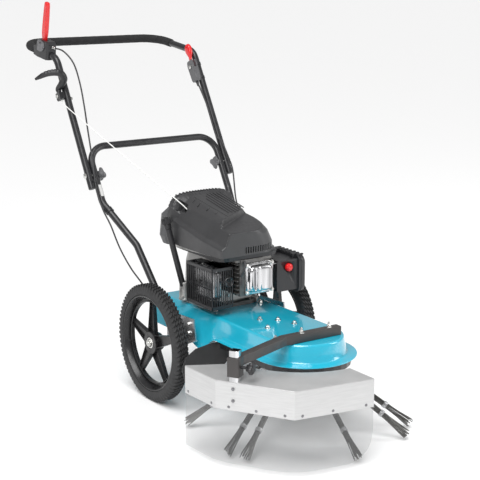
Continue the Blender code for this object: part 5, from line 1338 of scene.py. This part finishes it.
def cables():
    """The two cables and the starter rope, which run past the handle's joint, with their clips and boots."""
    _, rise, _ = clamp_frame()
    start = adjuster_end()
    route = [start, start - rise * 0.012, (-0.250, 0.500, 1.012), (-0.240, 0.452, 0.978),
             (-0.234, 0.424, 0.920), (-0.230, 0.406, 0.850), (-0.230, 0.386, 0.775), (-0.240, 0.342, 0.690),
             CLIP_SPOT, (-0.252, 0.282, 0.575), (-0.252, 0.252, 0.538), (-0.250, 0.212, 0.500),
             (-0.240, 0.176, 0.435), (-0.222, 0.140, 0.375), (-0.198, 0.110, 0.325), (-0.165, 0.130, 0.270),
             (-0.110, 0.180, 0.232), (-0.060, 0.170, 0.232), (-0.060, 0.1545, 0.236)]
    bend_to("clutch_cable_sheath", smooth_route(route, 14), CABLE_R, RUBBER, "black_rubber", "clutch_cable")
    seat = throttle_seat()
    start = seat - LEG_RUN * 0.0430
    route = [start, start - LEG_RUN * 0.020 + LEG_FRONT * 0.004, start - LEG_RUN * 0.100 + LEG_FRONT * 0.016,
             start - LEG_RUN * 0.200 + LEG_FRONT * 0.016, lean(0.060, 0.247) + LEG_FRONT * 0.024,
             lean(0.0, 0.2535) + LEG_FRONT * 0.0265, lean(-0.045, 0.256) + LEG_FRONT * 0.024,
             (0.248, 0.262, 0.520), (0.226, 0.200, 0.470), (0.190, 0.110, 0.446), (0.150, 0.022, 0.434),
             (0.108, -0.016, 0.418), (0.0850, -0.040, 0.400), (0.0834, -0.070, 0.386),
             (0.0834, -0.0990, 0.384)]
    bend_to("throttle_cable_sheath", smooth_route(route, 14), CABLE_R, RUBBER, "black_rubber",
            "throttle_cable")
    start = lean(GUIDE_AT - 0.0124, GUIDE_X - 0.010)
    route = [start, start + Vector((0.002, -0.008, -0.011)), start + Vector((0.016, -0.038, -0.034)),
             (-0.189, 0.245, 0.712), (-0.1165, 0.068, 0.600), (-0.096, 0.022, 0.568), (-0.083, 0.004, 0.545)]
    bend_to("starter_rope_braid", smooth_route(route, 40), ROPE_R, ROPE, "rope_white", "starter_rope",
            strands=True)
    tie, spot = Shape(), Vector(CLIP_SPOT)
    tie.band(-.004, .004, .0040, spot, (0, .5, .86), 20, .0027)
    tie.box(spot + Vector((-.002, .002, -.003)), spot + Vector((.006, .012, .003)), .001)
    tie.make("cable_clips", PLASTIC, "upper_handle", "black_plastic")
    boot = Shape()
    start = seat - LEG_RUN * 0.0423
    boot.turn([(0, .0052), (.003, .0052), (.016, .0036), (.018, .0027)], start, -LEG_RUN, 20)
    boot.make("throttle_cable_boot", PLASTIC, "upper_handle", "black_plastic")


def bend_to(name, points, radius, material, slot, node, strands=False):
    """A cable or rope as one piece, attached to no body."""
    shape = Shape()
    if strands:
        frames = path_frames(points, X)
        for k in range(3):
            path = []
            for i, (p, (side, up)) in enumerate(zip(points, frames)):
                t = 2 * pi * k / 3 + i * 0.62
                path.append(p + side * (radius * 0.46 * cos(t)) + up * (radius * 0.46 * sin(t)))
            shape.tube(path, radius * 0.56, 8)
    else:
        shape.tube(points, radius, 14)
    piece = shape.make(name, material, None, slot, [node], angle=50)
    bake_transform(piece)


# The stage

def put(name, data, place=(0, 0, 0), ahead=None):
    """An object in the scene, turned to look along a direction."""
    obj = bpy.data.objects.new(name, data)
    bpy.context.scene.collection.objects.link(obj)
    obj.location = place
    if ahead:
        obj.rotation_mode = "QUATERNION"
        obj.rotation_quaternion = Vector(ahead).to_track_quat("-Z", "Y")
    return obj


def soft_light(name, place, size, power):
    """A rectangular lamp that faces the middle of the machine."""
    data = bpy.data.lights.new(name, "AREA")
    data.shape = "RECTANGLE"
    data.size, data.size_y = size
    data.energy = power
    put(name, data, place, Vector((0, 0, 0.4)) - Vector(place))


def stage():
    """A plain pale floor, a bright even surround, soft boxes and the camera."""
    mesh = bpy.data.meshes.new("studio_floor")
    size = 40.0
    corners = [(-size, -size, 0), (size, -size, 0), (size, size, 0), (-size, size, 0)]
    mesh.from_pydata(corners, [], [(0, 1, 2, 3)])
    floor = put("studio_floor", mesh, (0, 0, -0.0006))
    paint = bpy.data.materials.new("pale_floor")
    paint.use_nodes = True
    shader = paint.node_tree.nodes["Principled BSDF"]
    shader.inputs["Base Color"].default_value = grey(0.98)
    shader.inputs["Roughness"].default_value = 0.6
    mesh.materials.append(paint)
    world = bpy.data.worlds.new("studio")
    world.use_nodes = True
    background = world.node_tree.nodes["Background"]
    background.inputs["Color"].default_value = grey(1)
    background.inputs["Strength"].default_value = 0.40
    bpy.context.scene.world = world
    bpy.context.scene.view_settings.view_transform = "Standard"
    sun = bpy.data.lights.new("overhead", "SUN")
    sun.energy, sun.angle = 2.1, radians(40)
    put("overhead", sun, ahead=(0.35, 0.25, -1.0))
    soft_light("key", (-2.6, -2.4, 2.6), (1.6, 1.6), 60)
    soft_light("fill", (3.0, -2.2, 1.8), (1.2, 2.4), 40)
    data = bpy.data.cameras.new("camera")
    data.lens, data.sensor_width = 92.0, 36.0
    data.clip_start, data.clip_end = 0.1, 200
    bpy.context.scene.camera = put("camera", data, (-1.9547, -3.0607, 1.2971), (0.5507, 0.8042, -0.2236))


CARRIED = {
    STEEL: ("axle", "right_axle_plate", "left_axle_plate", "crank_pulley", "rotor_shaft", "rotor_pulley",
            "idler_arm", "idler_pulley"),
    BLACK: ("bottom_cover", "brush_hub"),
    FLAP: ("rear_flap",),
    CAST: ("carburettor", "spindle_housing", "flywheel", "engine_block"),
    WING: ("throttle_housing",),
    PLASTIC: ("fuel_cap", "recoil_reel", "lever_clamp", "rope_guide"),
    TANK: ("fuel_tank",),
    RED: ("primer_bulb",),
    RUBBER: ("drive_belt",),
}
WELL_ROUNDED = ("lever_clamp", "throttle_housing", "rope_guide")


def carry_over():
    """Gives the CAD nodes that stay their finish and rounded edges."""
    for material, names in CARRIED.items():
        for name in names:
            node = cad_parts[name]
            node.data.materials.clear()
            node.data.materials.append(material)
            if name == "engine_block":
                block_plastic_top_and_painted_shade(node)
            else:
                round_edges(node, 0.0022 if name in WELL_ROUNDED else 0.0008)


def block_plastic_top_and_painted_shade(block):
    """Makes the top of the engine block plastic and paints its front faces dark: painted shade for the gap
    between the muffler guard and the valve cover.
    """
    block.data.materials.append(PLASTIC)
    block.data.materials.append(DARK_CAST_AND_PAINTED_SHADE)
    for face in block.data.polygons:
        middle = block.matrix_world @ face.center - SHIFT
        if middle.z > 0.428 and middle.y < -0.03:
            face.material_index = 1
        # Painted shade: the front faces take the dark casting.
        elif middle.y < -0.098:
            face.material_index = 2


def build():
    stage()
    carry_over()
    for side, name in ((-1, "right"), (1, "left")):
        tyre(side, name)
        rim(side, name)
        handle_knob(side, name)
    deck()
    guard()
    skirt()
    guard_mount()
    for number, (root_angle, tip_angle) in enumerate(BUNDLES, 1):
        wire_bundle(number, root_angle, tip_angle)
    handles()
    tube_fittings()
    engine_cover()
    valve_cover()
    muffler_parts()
    air_filter()
    engine_details()
    filler()
    clutch_control()
    throttle_control()
    starter_handle()
    cables()


build()
